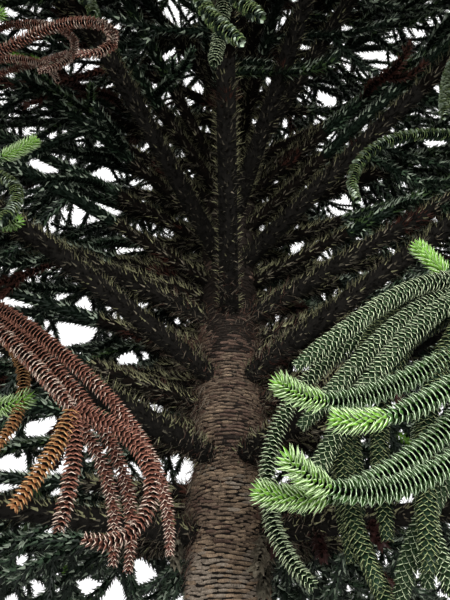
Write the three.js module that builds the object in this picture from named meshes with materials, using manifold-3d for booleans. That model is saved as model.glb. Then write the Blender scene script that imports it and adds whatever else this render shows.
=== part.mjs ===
import * as THREE from 'three';
import { mergeVertices } from 'three/addons/utils/BufferGeometryUtils.js';
import Module from 'manifold-3d';

// Driving dimensions: lengths in millimetres, headings and pitches in degrees.
// A heading of 0 points along +X and 90 along +Y; a pitch is measured up from level.
const TREE_HEIGHT = 10000;
const TRUNK_TOP = 9000;
const TRUNK_FOOT_RADIUS = 176;
const TRUNK_TIP_RADIUS = 20;
const TRUNK_SWELL = 17;
const SWELL_SHARE = 0.6;
const TRUNK_SIDES = 10;
const TRUNK_LEAN = 120;
const FLARE = 72;
const FLARE_HEIGHT = 230;
const FLARE_LOBES = 5;
const LOBE_DEPTH = 0.14;
const FOOT_RINGS = [0, 120, 300, 620, 1150];
const SEAT_GAP = 0.3;

// The crown's longest reach from the trunk, and the heights between which it falls to nothing.
const CROWN_REACH = 3100;
const WIDEST_HEIGHT = 3400;
const CROWN_SPAN = 6400;
const CROWN_ROUNDNESS = 0.8;
const LOWEST_FOLIAGE = 1180;

// Each low whorl: its height, the rise of its boughs, the headings of its bare-based boughs,
// and the headings of its shorter sprays that are clad in foliage from the trunk outwards.
const LOW_WHORLS = [
  { height: 1930, rise: 4, boughs: [-160, -18], sprays: [62, 125] },
  { height: 2210, rise: 8, boughs: [-129, -57], sprays: [90] },
  { height: 2560, rise: 20, boughs: [-40, -138], sprays: [30, 150] },
  { height: 2880, rise: 23, boughs: [-91, -23, -167], sprays: [122] },
  { height: 3200, rise: 23, boughs: [-43, -118, 157, 26], sprays: [92] },
  { height: 3520, rise: 24, boughs: [-72], sprays: [-5, 128] },
  { height: 3850, rise: 26, boughs: [-54, -139], sprays: [] },
];
// The upper crown, in whorls whose forked sprays each fill their share of the circle.
const HIGH_WHORLS = [
  { height: 4230, rise: 28, first: 165, count: 3 },
  { height: 4800, rise: 29, first: 92, count: 3 },
  { height: 5430, rise: 30, first: 40, count: 3 },
  { height: 6100, rise: 31, first: 75, count: 2 },
  { height: 6830, rise: 33, first: 165, count: 2 },
  { height: 7600, rise: 36, first: 60, count: 2 },
  { height: 8380, rise: 42, first: 150, count: 2 },
];

const BOUGH_SHARE = 0.375;
const BOUGH_STEPS = 8;
const BOUGH_BASE_RADIUS = 64;
const BOUGH_TIP_RADIUS = 20;
const BOUGH_SIDES = 5;
const TIP_PITCH = -14;
const STEM_SIDES = 4;
const SPRAY_STEPS = 5;
const ARM_STEPS = 3;
const ARM_SHARE = 0.78;
const FORK_FAN = 105;

// Side ropes: the hanging branchlets, and the broad leaves that stand for tufts on them.
const ROPE_RADIUS = 52;
const ROPE_LENGTH = 1050;
const ROPE_SIDES = 3;
const ROPE_STEPS = 3;
const HIGH_ROPE_STEPS = 2;
const HANGING_STEPS = 5;
const ROOT_SHARE = 0.45;
const ROPE_FAN = [48, 66];
const ROPE_CURL = [10, 40];
const ROPE_SAG = [-70, -25];
const ROPE_LIFT = 15;
const ROPES_ON_BOUGH = 5;
const ROPES_ON_SPRAY = 4;
const ROPES_ON_FORK = 2;
const LEAF_LENGTH = 230;
const LEAF_WIDTH_SHARE = 0.56;
const LEAF_HALF_THICKNESS = 12;
const LEAF_LEAN = 52;
const LEAF_SPACING = 900;
const CLEARANCE = 6;

// The long ropes that hang into the open front of the crown, by the bough that carries them:
// where they leave its foliage, as a share of it, then their course and their length.
const HANGING_ROPE_RADIUS = 33;
const HANGING_ROPES = {
  '2_1': [
    { at: 0.05, heading: -45, turn: 120, pitches: [5, -75, 5, -85], length: 1050 },
    { at: 0.1, heading: -40, turn: 60, pitches: [-15, -40, -45], length: 700, fingers: 4 },
    { at: 0.05, heading: -45, turn: 115, pitches: [-5, -75, -5, -95], length: 950 },
    { at: 0.05, heading: -45, turn: 120, pitches: [0, -75, 0, -100], length: 1000 },
  ],
  '2_2': [
    { at: 0.05, heading: 180, turn: -25, pitches: [5, -40, -50, -40], length: 650 },
    { at: 0.05, heading: 190, turn: -30, pitches: [25, -35, -40, -30], length: 600 },
    { at: 0.1, heading: 145, turn: 70, pitches: [-65, 5, -65, 25], length: 800 },
    { at: 0.1, heading: 150, turn: 45, pitches: [-75, -30, -55, 15], length: 950 },
    { at: 0.1, heading: 175, turn: -30, pitches: [-10, -40, -50, -60], length: 850 },
    { at: 0.1, heading: 160, turn: -40, pitches: [-60, -40, -50, -85], length: 800 },
    { at: 0.15, heading: 160, turn: -45, pitches: [-65, -50, -20, -70], length: 950 },
    { at: 0.15, heading: 160, turn: 20, pitches: [-75, -10, -60, 10], length: 750 },
    { at: 0.2, heading: 110, turn: 110, pitches: [-80, -5, -70, 35], length: 1100 },
    { at: 0.25, heading: 165, turn: -60, pitches: [-50, -30, -70, -60], length: 850 },
  ],
  '3_2': [
    { at: 0.2, heading: -45, turn: 50, pitches: [10, -60, 170, -195], length: 1100 },
  ],
  '4_1': [
    { at: 0.1, heading: 95, turn: 30, pitches: [-60, -70, -70], length: 250 },
  ],
  '4_2': [
    { at: 0.1, heading: -105, turn: -90, pitches: [-15, -85, 75, -105], length: 1400 },
  ],
};

const LEADER_STEPS = 5;
const LEADER_WHORLS = [
  { ring: 1, count: 5, reach: 780, pitches: [25, 20, 0] },
  { ring: 3, count: 4, reach: 420, pitches: [30, 45, 30] },
];

// The open space in front of the trunk, a widening view from a standing person's eye.
const EYE = new THREE.Vector3(0, -2200, 1600);
const OPEN_PITCH = 33;
const OPEN_DEPTH = 2250;
const OPEN_HALF_WIDTH = 0.47;
const OPEN_HALF_HEIGHT = 0.62;

const COLOURS = { bark: 0x6b5d50, bough: 0x4a4234, foliage: 0x2c3d26 };

const wasm = await Module();
wasm.setup();

const radians = THREE.MathUtils.degToRad;
const lerp = THREE.MathUtils.lerp;

// The seeded rule: one stream of numbers between 0 and 1.
let seed = 7;
function random() {
  seed = (Math.imul(seed, 1664525) + 1013904223) >>> 0;
  return seed / 4294967296;
}
const between = (low, high) => low + (high - low) * random();

function direction(heading, pitch) {
  const h = radians(heading);
  const p = radians(pitch);
  return new THREE.Vector3(Math.cos(h) * Math.cos(p), Math.sin(h) * Math.cos(p), Math.sin(p));
}

function blend(controls, t) {
  if (controls.length === 1) return controls[0];
  const next = controls.slice(1).map((value, i) => lerp(controls[i], value, t));
  return blend(next, t);
}

// A growing line: nodes with their place, way onward and level side.
function grow(start, heading, turn, pitches, length, steps) {
  const frame = (t) => ({
    along: direction(heading + turn * t, blend(pitches, t)),
    side: direction(heading + turn * t + 90, 0),
  });
  const nodes = [{ place: start.clone(), ...frame(0) }];
  for (let i = 0; i < steps; i += 1) {
    const stride = frame((i + 0.5) / steps).along.multiplyScalar(length / steps);
    nodes.push({ place: nodes[i].place.clone().add(stride), ...frame((i + 1) / steps) });
  }
  return nodes;
}

function toSolid(geometry) {
  const bare = geometry.clone();
  bare.deleteAttribute('normal');
  bare.deleteAttribute('uv');
  const merged = mergeVertices(bare, 1e-4);
  const corners = merged.index.array;
  const triangles = [];
  for (let i = 0; i < corners.length; i += 3) {
    const [a, b, c] = corners.slice(i, i + 3);
    if (a !== b && b !== c && c !== a) triangles.push(a, b, c);
  }
  const positions = merged.attributes.position.array;
  const build = () => new wasm.Manifold(new wasm.Mesh({
    numProp: 3, vertProperties: new Float32Array(positions), triVerts: new Uint32Array(triangles),
  }));
  const solid = build();
  if (solid.volume() > 0) return solid;
  triangles.reverse();
  return build();
}

function toMesh(name, solid, colour, roughness) {
  const { vertProperties, triVerts } = solid.getMesh();
  const geometry = new THREE.BufferGeometry();
  geometry.setAttribute('position', new THREE.BufferAttribute(vertProperties, 3));
  geometry.setIndex(new THREE.BufferAttribute(triVerts, 1));
  geometry.computeVertexNormals();
  const material = new THREE.MeshStandardMaterial({ color: colour, roughness, metalness: 0 });
  const mesh = new THREE.Mesh(geometry, material);
  mesh.name = name;
  return mesh;
}

// A limb: a cylinder bent along its nodes, with a radius at each; an end radius of 0 is a point.
function limb(nodes, radii, sides) {
  const steps = nodes.length - 1;
  const pointed = radii[steps] === 0;
  const geometry = new THREE.CylinderGeometry(pointed ? 0 : 1, 1, 1, sides, steps);
  const position = geometry.attributes.position;
  for (let i = 0; i < position.count; i += 1) {
    const ring = Math.round((position.getY(i) + 0.5) * steps);
    const { place, along, side } = nodes[ring];
    const across = new THREE.Vector3().crossVectors(side, along);
    const spread = Math.hypot(position.getX(i), position.getZ(i));
    const scale = spread > 1e-6 ? radii[ring] / spread : 0;
    const point = place.clone()
      .addScaledVector(side, position.getX(i) * scale)
      .addScaledVector(across, position.getZ(i) * scale);
    position.setXYZ(i, point.x, point.y, point.z);
  }
  return toSolid(geometry);
}

// A flat keeled leaf whose broad base is sunk in one face of the twig that carries it.
function leaf({ place, along, side }, turn, radius, size) {
  const across = new THREE.Vector3().crossVectors(side, along);
  const outward = side.clone().multiplyScalar(Math.sin(turn))
    .addScaledVector(across, Math.cos(turn));
  const blade = outward.clone().multiplyScalar(Math.sin(radians(LEAF_LEAN)))
    .addScaledVector(along, Math.cos(radians(LEAF_LEAN))).normalize();
  const width = new THREE.Vector3().crossVectors(along, outward).normalize();
  const thick = new THREE.Vector3().crossVectors(width, blade).normalize();
  const geometry = new THREE.ConeGeometry(1, 1, 3, 1);
  geometry.scale(LEAF_WIDTH_SHARE * radius, LEAF_LENGTH * size, LEAF_HALF_THICKNESS * size);
  geometry.translate(0, LEAF_LENGTH * size * 0.5, 0);
  geometry.applyMatrix4(new THREE.Matrix4().makeBasis(width, blade, thick));
  geometry.translate(place.x, place.y, place.z);
  return toSolid(geometry);
}

const whorlHeights = [...LOW_WHORLS, ...HIGH_WHORLS].map((whorl) => whorl.height);

function trunkAxis(z) {
  return new THREE.Vector3(TRUNK_LEAN * (z / TRUNK_TOP) ** 1.5, 0, z);
}

function trunkRadius(z) {
  const taper = lerp(TRUNK_FOOT_RADIUS, TRUNK_TIP_RADIUS, z / TRUNK_TOP);
  return taper + FLARE * Math.exp(-z / FLARE_HEIGHT);
}

// The trunk: narrow at each whorl, swollen between two, with a lobed flare and a flat foot.
function trunkSolid(extra) {
  const stops = [...FOOT_RINGS, ...whorlHeights, TRUNK_TOP];
  const profile = [new THREE.Vector2(0, 0)];
  stops.forEach((z, i) => {
    profile.push(new THREE.Vector2(trunkRadius(z), z));
    if (i < FOOT_RINGS.length || i === stops.length - 1) return;
    const level = lerp(z, stops[i + 1], SWELL_SHARE);
    const swell = TRUNK_SWELL * (1 - z / TRUNK_TOP);
    profile.push(new THREE.Vector2(trunkRadius(level) + swell, level));
  });
  profile.push(new THREE.Vector2(0, TRUNK_TOP));
  const geometry = new THREE.LatheGeometry(profile, TRUNK_SIDES);
  geometry.rotateX(Math.PI / 2);
  const position = geometry.attributes.position;
  for (let i = 0; i < position.count; i += 1) {
    const z = Math.max(0, position.getZ(i));
    const turn = Math.atan2(position.getY(i), position.getX(i));
    const radius = Math.hypot(position.getX(i), position.getY(i));
    const lobe = LOBE_DEPTH * Math.cos(FLARE_LOBES * turn) * Math.exp(-z / FLARE_HEIGHT);
    const grown = radius > 1e-6 ? (radius + extra) * (1 + lobe) : 0;
    const axis = trunkAxis(z);
    position.setXYZ(i, axis.x + grown * Math.cos(turn), grown * Math.sin(turn), z);
  }
  return toSolid(geometry);
}

function largestBody(solid) {
  const bodies = solid.decompose();
  return bodies.reduce((best, body) => (body.volume() > best.volume() ? body : best));
}

const group = new THREE.Group();
const placed = [];

function put(name, solid, colour, roughness) {
  placed.push({ solid, box: solid.boundingBox() });
  group.add(toMesh(name, solid, colour, roughness));
}

function isClear(solid) {
  const { min, max } = solid.boundingBox();
  return placed.every((other) => {
    const apart = [0, 1, 2].some((k) => min[k] - CLEARANCE > other.box.max[k]
      || max[k] + CLEARANCE < other.box.min[k]);
    return apart || solid.minGap(other.solid, CLEARANCE) >= CLEARANCE;
  });
}

function isInOpenSpace(place) {
  const fromEye = place.clone().sub(EYE);
  const depth = fromEye.dot(direction(90, OPEN_PITCH));
  const rise = fromEye.dot(direction(-90, 90 - OPEN_PITCH));
  return depth > 0 && depth < OPEN_DEPTH
    && Math.abs(fromEye.x) < depth * OPEN_HALF_WIDTH + 60
    && Math.abs(rise) < depth * OPEN_HALF_HEIGHT + 60;
}

function keepsToSpace(nodes) {
  return nodes.every(({ place }) => place.z > LOWEST_FOLIAGE && !isInOpenSpace(place));
}

function crownReach(z) {
  const share = (z - WIDEST_HEIGHT) / CROWN_SPAN;
  return CROWN_REACH * Math.max(0, 1 - share * share) ** CROWN_ROUNDNESS;
}

function boughNodes(height, heading, rise, length, steps) {
  const start = trunkAxis(height).addScaledVector(direction(heading, 0), trunkRadius(height) * 0.5);
  return grow(start, heading, 0, [rise, rise, rise * 0.6, TIP_PITCH], length, steps);
}

function boughRadius(share, length) {
  const base = lerp(0.5, 1, length / CROWN_REACH) * BOUGH_BASE_RADIUS;
  return lerp(base, BOUGH_TIP_RADIUS, share);
}

function leavesAlong(nodes, radii, sides, parts, size) {
  const steps = nodes.length - 1;
  const length = nodes[0].place.distanceTo(nodes[steps].place);
  const count = Math.round(length / LEAF_SPACING + between(-0.45, 0.35));
  for (let i = 0; i < count; i += 1) {
    const share = (i + 1) / (count + 0.5) * steps;
    const ring = Math.min(steps - 1, Math.floor(share));
    const place = nodes[ring].place.clone().lerp(nodes[ring + 1].place, share - ring);
    const radius = lerp(radii[ring], radii[ring + 1], share - ring);
    const turn = (Math.floor(between(0, sides)) + 0.5) * Math.PI * 2 / sides;
    const blade = leaf({ ...nodes[ring], place }, turn, radius, size * between(0.85, 1.15));
    if (place.z > LOWEST_FOLIAGE + LEAF_LENGTH && isClear(blade)) parts.push(blade);
  }
}

// A rope is slim where it is rooted in its stem, full a third of the way out, and pointed.
function addRope(from, heading, turn, pitches, length, root, steps, parts) {
  for (const trim of [1, 0.7, 0.45]) {
    const nodes = grow(from, heading, turn, pitches, length * trim, steps);
    const radii = nodes.map((_, i) => lerp(ROPE_RADIUS, ROPE_RADIUS * 0.6, i / steps));
    radii[0] = root;
    radii[steps] = 0;
    if (keepsToSpace(nodes)) {
      const twig = limb(nodes, radii, ROPE_SIDES);
      if (isClear(twig)) {
        parts.push(twig);
        leavesAlong(nodes, radii, ROPE_SIDES, parts, 1);
        return;
      }
    }
  }
}

function pointOn(nodes, radii, share) {
  const at = share * (nodes.length - 1);
  const ring = Math.min(nodes.length - 2, Math.floor(at));
  return {
    place: nodes[ring].place.clone().lerp(nodes[ring + 1].place, at - ring),
    radius: lerp(radii[ring], radii[ring + 1], at - ring),
    along: nodes[ring].along,
  };
}

// A hanging rope, with its end split into fingers where its bough's table says so.
function addHangingRope(nodes, radii, rope, parts) {
  const { at, heading, turn, pitches, length, fingers = 0 } = rope;
  const { place, radius } = pointOn(nodes, radii, at);
  const line = grow(place, heading, turn, pitches, length, HANGING_STEPS);
  const slim = line.map((_, i) => (i === HANGING_STEPS ? 0 : HANGING_ROPE_RADIUS));
  slim[0] = Math.min(HANGING_ROPE_RADIUS, radius * ROOT_SHARE);
  const solid = limb(line, slim, ROPE_SIDES);
  if (!isClear(solid)) return;
  parts.push(solid);
  leavesAlong(line, slim, ROPE_SIDES, parts, 0.5);
  const fork = pointOn(line, slim, 0.8);
  for (let i = 0; i < fingers; i += 1) {
    const way = lerp(150, 10, i / (fingers - 1));
    const twig = grow(fork.place, way, 0, [-40, -80, -85], 360, ROPE_STEPS);
    const taper = twig.map((_, k) => (k === ROPE_STEPS ? 0 : HANGING_ROPE_RADIUS * 0.8));
    taper[0] = fork.radius * ROOT_SHARE;
    const finger = limb(twig, taper, ROPE_SIDES);
    if (isClear(finger)) parts.push(finger);
  }
}

// Ropes leave a stem by turns left and right, sag, and lift again at their tips.
function addRopes(nodes, radii, count, first, length, steps, parts) {
  for (let i = 0; i < count; i += 1) {
    const share = lerp(first, 0.92, (i + 0.5) / count);
    const { place, radius, along } = pointOn(nodes, radii, share);
    const root = Math.min(ROPE_RADIUS, radius * ROOT_SHARE);
    const hand = i % 2 === 0 ? 1 : -1;
    const heading = THREE.MathUtils.radToDeg(Math.atan2(along.y, along.x)) + hand * between(...ROPE_FAN);
    const sag = between(...ROPE_SAG);
    const reach = length * between(0.8, 1.1) * (1 - 0.45 * share);
    const turn = -hand * between(...ROPE_CURL);
    addRope(place, heading, turn, [0, sag, sag, ROPE_LIFT], reach, root, steps, parts);
  }
}

function stemRadii(nodes, fromShare, length) {
  const steps = nodes.length - 1;
  return nodes.map((_, i) => (i === steps ? 0 : boughRadius(lerp(fromShare, 1, i / steps), length)));
}

function finish(name, parts) {
  const solid = largestBody(wasm.Manifold.union(parts));
  put(name, solid, COLOURS.foliage, 0.75);
}

// A bough and the foliage that carries it on, from where its clad part starts.
function addBough(label, whorl, heading) {
  const length = crownReach(whorl.height);
  const nodes = boughNodes(whorl.height, heading, whorl.rise, length, BOUGH_STEPS);
  const cut = Math.round(BOUGH_STEPS * BOUGH_SHARE);
  const bare = nodes.slice(0, cut + 1);
  const radii = bare.map((_, i) => boughRadius(i / BOUGH_STEPS, length));
  const bough = largestBody(limb(bare, radii, BOUGH_SIDES).subtract(trunkSeat));
  put(`bough_${label}`, bough, COLOURS.bough, 0.85);
  return { label, length, clad: nodes.slice(cut) };
}

function addBoughFoliage({ label, length, clad }) {
  const seat = clad[0].place.clone().addScaledVector(clad[0].along, SEAT_GAP);
  const nodes = [{ ...clad[0], place: seat }, ...clad.slice(1)];
  const radii = stemRadii(nodes, BOUGH_SHARE, length);
  const parts = [limb(nodes, radii, BOUGH_SIDES)];
  (HANGING_ROPES[label] || []).forEach((rope) => addHangingRope(nodes, radii, rope, parts));
  addRopes(nodes, radii, ROPES_ON_BOUGH, 0.05, ROPE_LENGTH, ROPE_STEPS, parts);
  leavesAlong(nodes, radii, BOUGH_SIDES, parts, 1.1);
  finish(`foliage_${label}`, parts);
}

function addSpray(label, whorl, heading) {
  const length = crownReach(whorl.height) * 0.97;
  const nodes = boughNodes(whorl.height, heading, whorl.rise, length, SPRAY_STEPS);
  const radii = stemRadii(nodes, 0, length);
  const parts = [largestBody(limb(nodes, radii, STEM_SIDES).subtract(trunkSeat))];
  addRopes(nodes, radii, ROPES_ON_SPRAY, 0.3, ROPE_LENGTH, ROPE_STEPS, parts);
  leavesAlong(nodes.slice(2), radii.slice(2), STEM_SIDES, parts, 1.1);
  finish(`foliage_${label}`, parts);
}

// A forked spray: one stem from the trunk, with two side limbs that fan out from it.
function addForkedSpray(label, whorl, heading, fan) {
  const length = crownReach(whorl.height);
  const nodes = boughNodes(whorl.height, heading, whorl.rise, length, SPRAY_STEPS);
  const radii = stemRadii(nodes, 0, length);
  const parts = [largestBody(limb(nodes, radii, STEM_SIDES).subtract(trunkSeat))];
  const limbs = [{ line: nodes, radii, sides: STEM_SIDES }];
  for (const hand of [1, -1]) {
    const line = grow(nodes[1].place, heading + hand * fan, -hand * 12,
      [whorl.rise * 0.5, whorl.rise, whorl.rise * 0.5, TIP_PITCH], length * ARM_SHARE, ARM_STEPS);
    const armRadii = line.map((_, i) => (i === ARM_STEPS ? 0 : radii[1] * (0.8 - 0.15 * i)));
    armRadii[0] = radii[1] * ROOT_SHARE;
    const solid = limb(line, armRadii, ROPE_SIDES);
    if (isClear(solid)) {
      parts.push(solid);
      limbs.push({ line, radii: armRadii, sides: ROPE_SIDES });
    }
  }
  const ropeLength = ROPE_LENGTH * lerp(0.5, 1, length / CROWN_REACH);
  limbs.forEach((arm) => {
    addRopes(arm.line, arm.radii, ROPES_ON_FORK, 0.3, ropeLength, HIGH_ROPE_STEPS, parts);
    leavesAlong(arm.line.slice(1), arm.radii.slice(1), arm.sides, parts, 1.1);
  });
  finish(`foliage_${label}`, parts);
}

// The leading shoot on the trunk's tip, with two small whorls of its own.
function addLeader() {
  const height = TREE_HEIGHT - TRUNK_TOP - SEAT_GAP;
  const nodes = grow(trunkAxis(TRUNK_TOP + SEAT_GAP), 0, 0, [90, 90], height, LEADER_STEPS);
  const radii = nodes.map((_, i) => lerp(TRUNK_TIP_RADIUS, ROPE_RADIUS, i / LEADER_STEPS));
  radii[LEADER_STEPS] = 0;
  const parts = [limb(nodes, radii, STEM_SIDES)];
  LEADER_WHORLS.forEach(({ ring, count, reach, pitches }) => {
    for (let i = 0; i < count; i += 1) {
      const heading = 20 + ring * 30 + i * 360 / count;
      const { place } = nodes[ring];
      addRope(place, heading, 0, pitches, reach, radii[ring] * ROOT_SHARE, ROPE_STEPS, parts);
    }
  });
  leavesAlong(nodes, radii, STEM_SIDES, parts, 0.8);
  finish('leader', parts);
}

put('trunk', trunkSolid(0), COLOURS.bark, 0.9);
const trunkSeat = trunkSolid(SEAT_GAP * 1.15);

const boughs = LOW_WHORLS.flatMap((whorl, i) => whorl.boughs
  .map((heading, j) => addBough(`${i + 1}_${j + 1}`, whorl, heading)));
boughs.forEach(addBoughFoliage);
LOW_WHORLS.forEach((whorl, i) => whorl.sprays
  .forEach((heading, j) => addSpray(`${i + 1}_${whorl.boughs.length + j + 1}`, whorl, heading)));
HIGH_WHORLS.forEach((whorl, i) => {
  for (let j = 0; j < whorl.count; j += 1) {
    const label = `${LOW_WHORLS.length + i + 1}_${j + 1}`;
    addForkedSpray(label, whorl, whorl.first + j * 360 / whorl.count, FORK_FAN / whorl.count);
  }
});
addLeader();

export default group;
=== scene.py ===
import functools
import math

import bpy
import numpy as np
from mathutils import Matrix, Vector, noise


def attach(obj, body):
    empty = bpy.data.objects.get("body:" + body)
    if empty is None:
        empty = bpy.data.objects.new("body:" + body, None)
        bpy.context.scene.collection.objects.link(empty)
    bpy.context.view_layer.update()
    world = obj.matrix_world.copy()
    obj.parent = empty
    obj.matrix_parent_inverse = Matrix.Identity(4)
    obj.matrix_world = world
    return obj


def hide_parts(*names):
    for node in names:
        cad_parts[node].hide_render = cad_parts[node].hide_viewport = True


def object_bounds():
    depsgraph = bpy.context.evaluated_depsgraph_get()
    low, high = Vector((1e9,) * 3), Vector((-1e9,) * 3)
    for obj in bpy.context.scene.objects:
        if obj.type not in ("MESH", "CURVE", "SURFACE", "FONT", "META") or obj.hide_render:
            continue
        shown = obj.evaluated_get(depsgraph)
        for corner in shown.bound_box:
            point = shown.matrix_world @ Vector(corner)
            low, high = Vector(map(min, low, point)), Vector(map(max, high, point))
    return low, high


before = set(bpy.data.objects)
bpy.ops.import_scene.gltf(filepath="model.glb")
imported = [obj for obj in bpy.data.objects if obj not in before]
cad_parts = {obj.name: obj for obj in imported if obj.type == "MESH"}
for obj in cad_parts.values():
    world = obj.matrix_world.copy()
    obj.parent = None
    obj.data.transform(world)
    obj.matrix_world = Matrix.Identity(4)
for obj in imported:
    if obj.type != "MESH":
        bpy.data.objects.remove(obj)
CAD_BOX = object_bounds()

bl_info = {
    "name": "Monkey Puzzle Tree",
    "version": (1, 0, 0),
    "blender": (4, 5, 0),
    "location": "3D View > Sidebar > Tree",
    "description": "Bark, boughs and leaf-clad ropes of a monkey puzzle tree",
    "category": "Add Mesh",
}

# Driving sizes of the limbs, the same as the solids': metres, and degrees for headings and pitches.
# A heading of 0 points along +X and 90 along +Y; a pitch is measured up from level.
TREE_HEIGHT = 10.0
TRUNK_TOP = 9.0
TRUNK_FOOT_RADIUS = 0.176
TRUNK_TIP_RADIUS = 0.020
TRUNK_SWELL = 0.017
SWELL_SHARE = 0.6
TRUNK_LEAN = 0.12
LEAN_POWER = 1.5
FLARE = 0.072
FLARE_HEIGHT = 0.23
FLARE_LOBES = 5
LOBE_DEPTH = 0.14
CROWN_REACH = 3.1
WIDEST_HEIGHT = 3.4
CROWN_SPAN = 6.4
CROWN_ROUNDNESS = 0.8
LOWEST_FOLIAGE = 1.18

LOW_WHORLS = [
    {"height": 1.93, "rise": 4, "boughs": [-160, -18], "sprays": [62, 125]},
    {"height": 2.21, "rise": 8, "boughs": [-129, -57], "sprays": [90]},
    {"height": 2.56, "rise": 20, "boughs": [-40, -138], "sprays": [30, 150]},
    {"height": 2.88, "rise": 23, "boughs": [-91, -23, -167], "sprays": [122]},
    {"height": 3.20, "rise": 23, "boughs": [-43, -118, 157, 26], "sprays": [92]},
    {"height": 3.52, "rise": 24, "boughs": [-72], "sprays": [-5, 128]},
    {"height": 3.85, "rise": 26, "boughs": [-54, -139], "sprays": []},
]
HIGH_WHORLS = [
    {"height": 4.23, "rise": 28, "first": 165, "count": 3},
    {"height": 4.80, "rise": 29, "first": 92, "count": 3},
    {"height": 5.43, "rise": 30, "first": 40, "count": 3},
    {"height": 6.10, "rise": 31, "first": 75, "count": 2},
    {"height": 6.83, "rise": 33, "first": 165, "count": 2},
    {"height": 7.60, "rise": 36, "first": 60, "count": 2},
    {"height": 8.38, "rise": 42, "first": 150, "count": 2},
]

BOUGH_SHARE = 0.375
BOUGH_BASE_RADIUS = 0.064
BOUGH_TIP_RADIUS = 0.020
TIP_PITCH = -14
LIMB_ROOT_SHARE = 0.5
LIMB_EASING = 0.6
SHORT_LIMB_WOOD = 0.5
SPRAY_SHARE = 0.97
ARM_SHARE = 0.78
FORK_FAN = 105
ROPE_LENGTH = 1.05
ROPE_FAN = (48, 66)
ROPE_CURL = (10, 40)
ROPE_SAG = (-70, -25)
ROPE_LIFT = 15

# A rope's tries where it would hang in the open: turned aside, pitched, and shortened to a share.
ROPE_TRIES = (
    (0, 0, 1), (14, 0, 1), (-14, 0, 1), (0, 18, 1), (0, -18, 1), (0, 0, 0.7), (20, -15, 0.7), (-20, 15, 0.7),
    (0, 0, 0.45),
)


def rope(at, heading, turn, pitches, length, **more):
    """A rope or shoot of its own: where along its stem it starts, its way and length, and its finish."""
    return {"at": at, "heading": heading, "turn": turn, "pitches": pitches, "length": length, **more}


# The long ropes that hang into the open front of the crown, by the bough that carries them.
HANGING_ROPES = {
    "2_1": [
        rope(0.05, -45, 120, (5, -75, 5, -85), 1.05),
        rope(0.10, -40, 60, (-15, -40, -45), 0.70, fork=[
            rope(1, 190, 0, (-80, -65, -60), 0.21, finish="orange"),
            rope(1, 60, 0, (-70, -90, -100), 0.23, finish="rust"),
            rope(1, 20, 0, (-10, -20, -100, -200), 0.43, finish="rust"),
        ]),
        rope(0.05, -45, 115, (-5, -75, -5, -95), 0.95),
        rope(0.05, -45, 120, (0, -75, 0, -100), 1.00),
    ],
    "2_2": [
        rope(0.05, 180, -25, (5, -40, -50, -40), 0.65),
        rope(0.05, 190, -30, (25, -35, -40, -30), 0.60),
        rope(0.10, 145, 70, (-65, 5, -65, 25), 0.80, finish="lit"),
        rope(0.10, 150, 45, (-75, -30, -55, 15), 0.95, finish="lit"),
        rope(0.10, 175, -30, (-10, -40, -50, -60), 0.85),
        rope(0.10, 160, -40, (-60, -40, -50, -85), 0.80),
        rope(0.15, 160, -45, (-65, -50, -20, -70), 0.95),
        rope(0.15, 160, 20, (-75, -10, -60, 10), 0.75, finish="lit"),
        rope(0.20, 110, 110, (-80, -5, -70, 35), 1.10, finish="lit"),
        rope(0.25, 165, -60, (-50, -30, -70, -60), 0.85),
    ],
    "3_2": [rope(0.20, -45, 50, (10, -60, 170, -195), 1.10)],
    "4_1": [rope(0.10, 95, 30, (-60, -70, -70), 0.25)],
    "4_2": [rope(0.10, -105, -90, (-15, -85, 75, -105), 1.40, finish="pale", detail="slim")],
}
DEAD_BOUGHS = ("2_1", "3_2")
ROPE_RADII = (0.013, 0.008)
DEAD_RADII = (0.011, 0.006)
HANGING_DETAILS = {"rust": "dead", "orange": "dead", "lit": "near"}

# The open space in front of the trunk, a widening view from a standing viewer's eye.
EYE = np.array([0.0, -2.2, 1.6])
OPEN_PITCH = 33
OPEN_DEPTH = 2.25
OPEN_HALF_WIDTH = 0.47
OPEN_HALF_HEIGHT = 0.62
OPEN_MARGIN = 0.06

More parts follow.
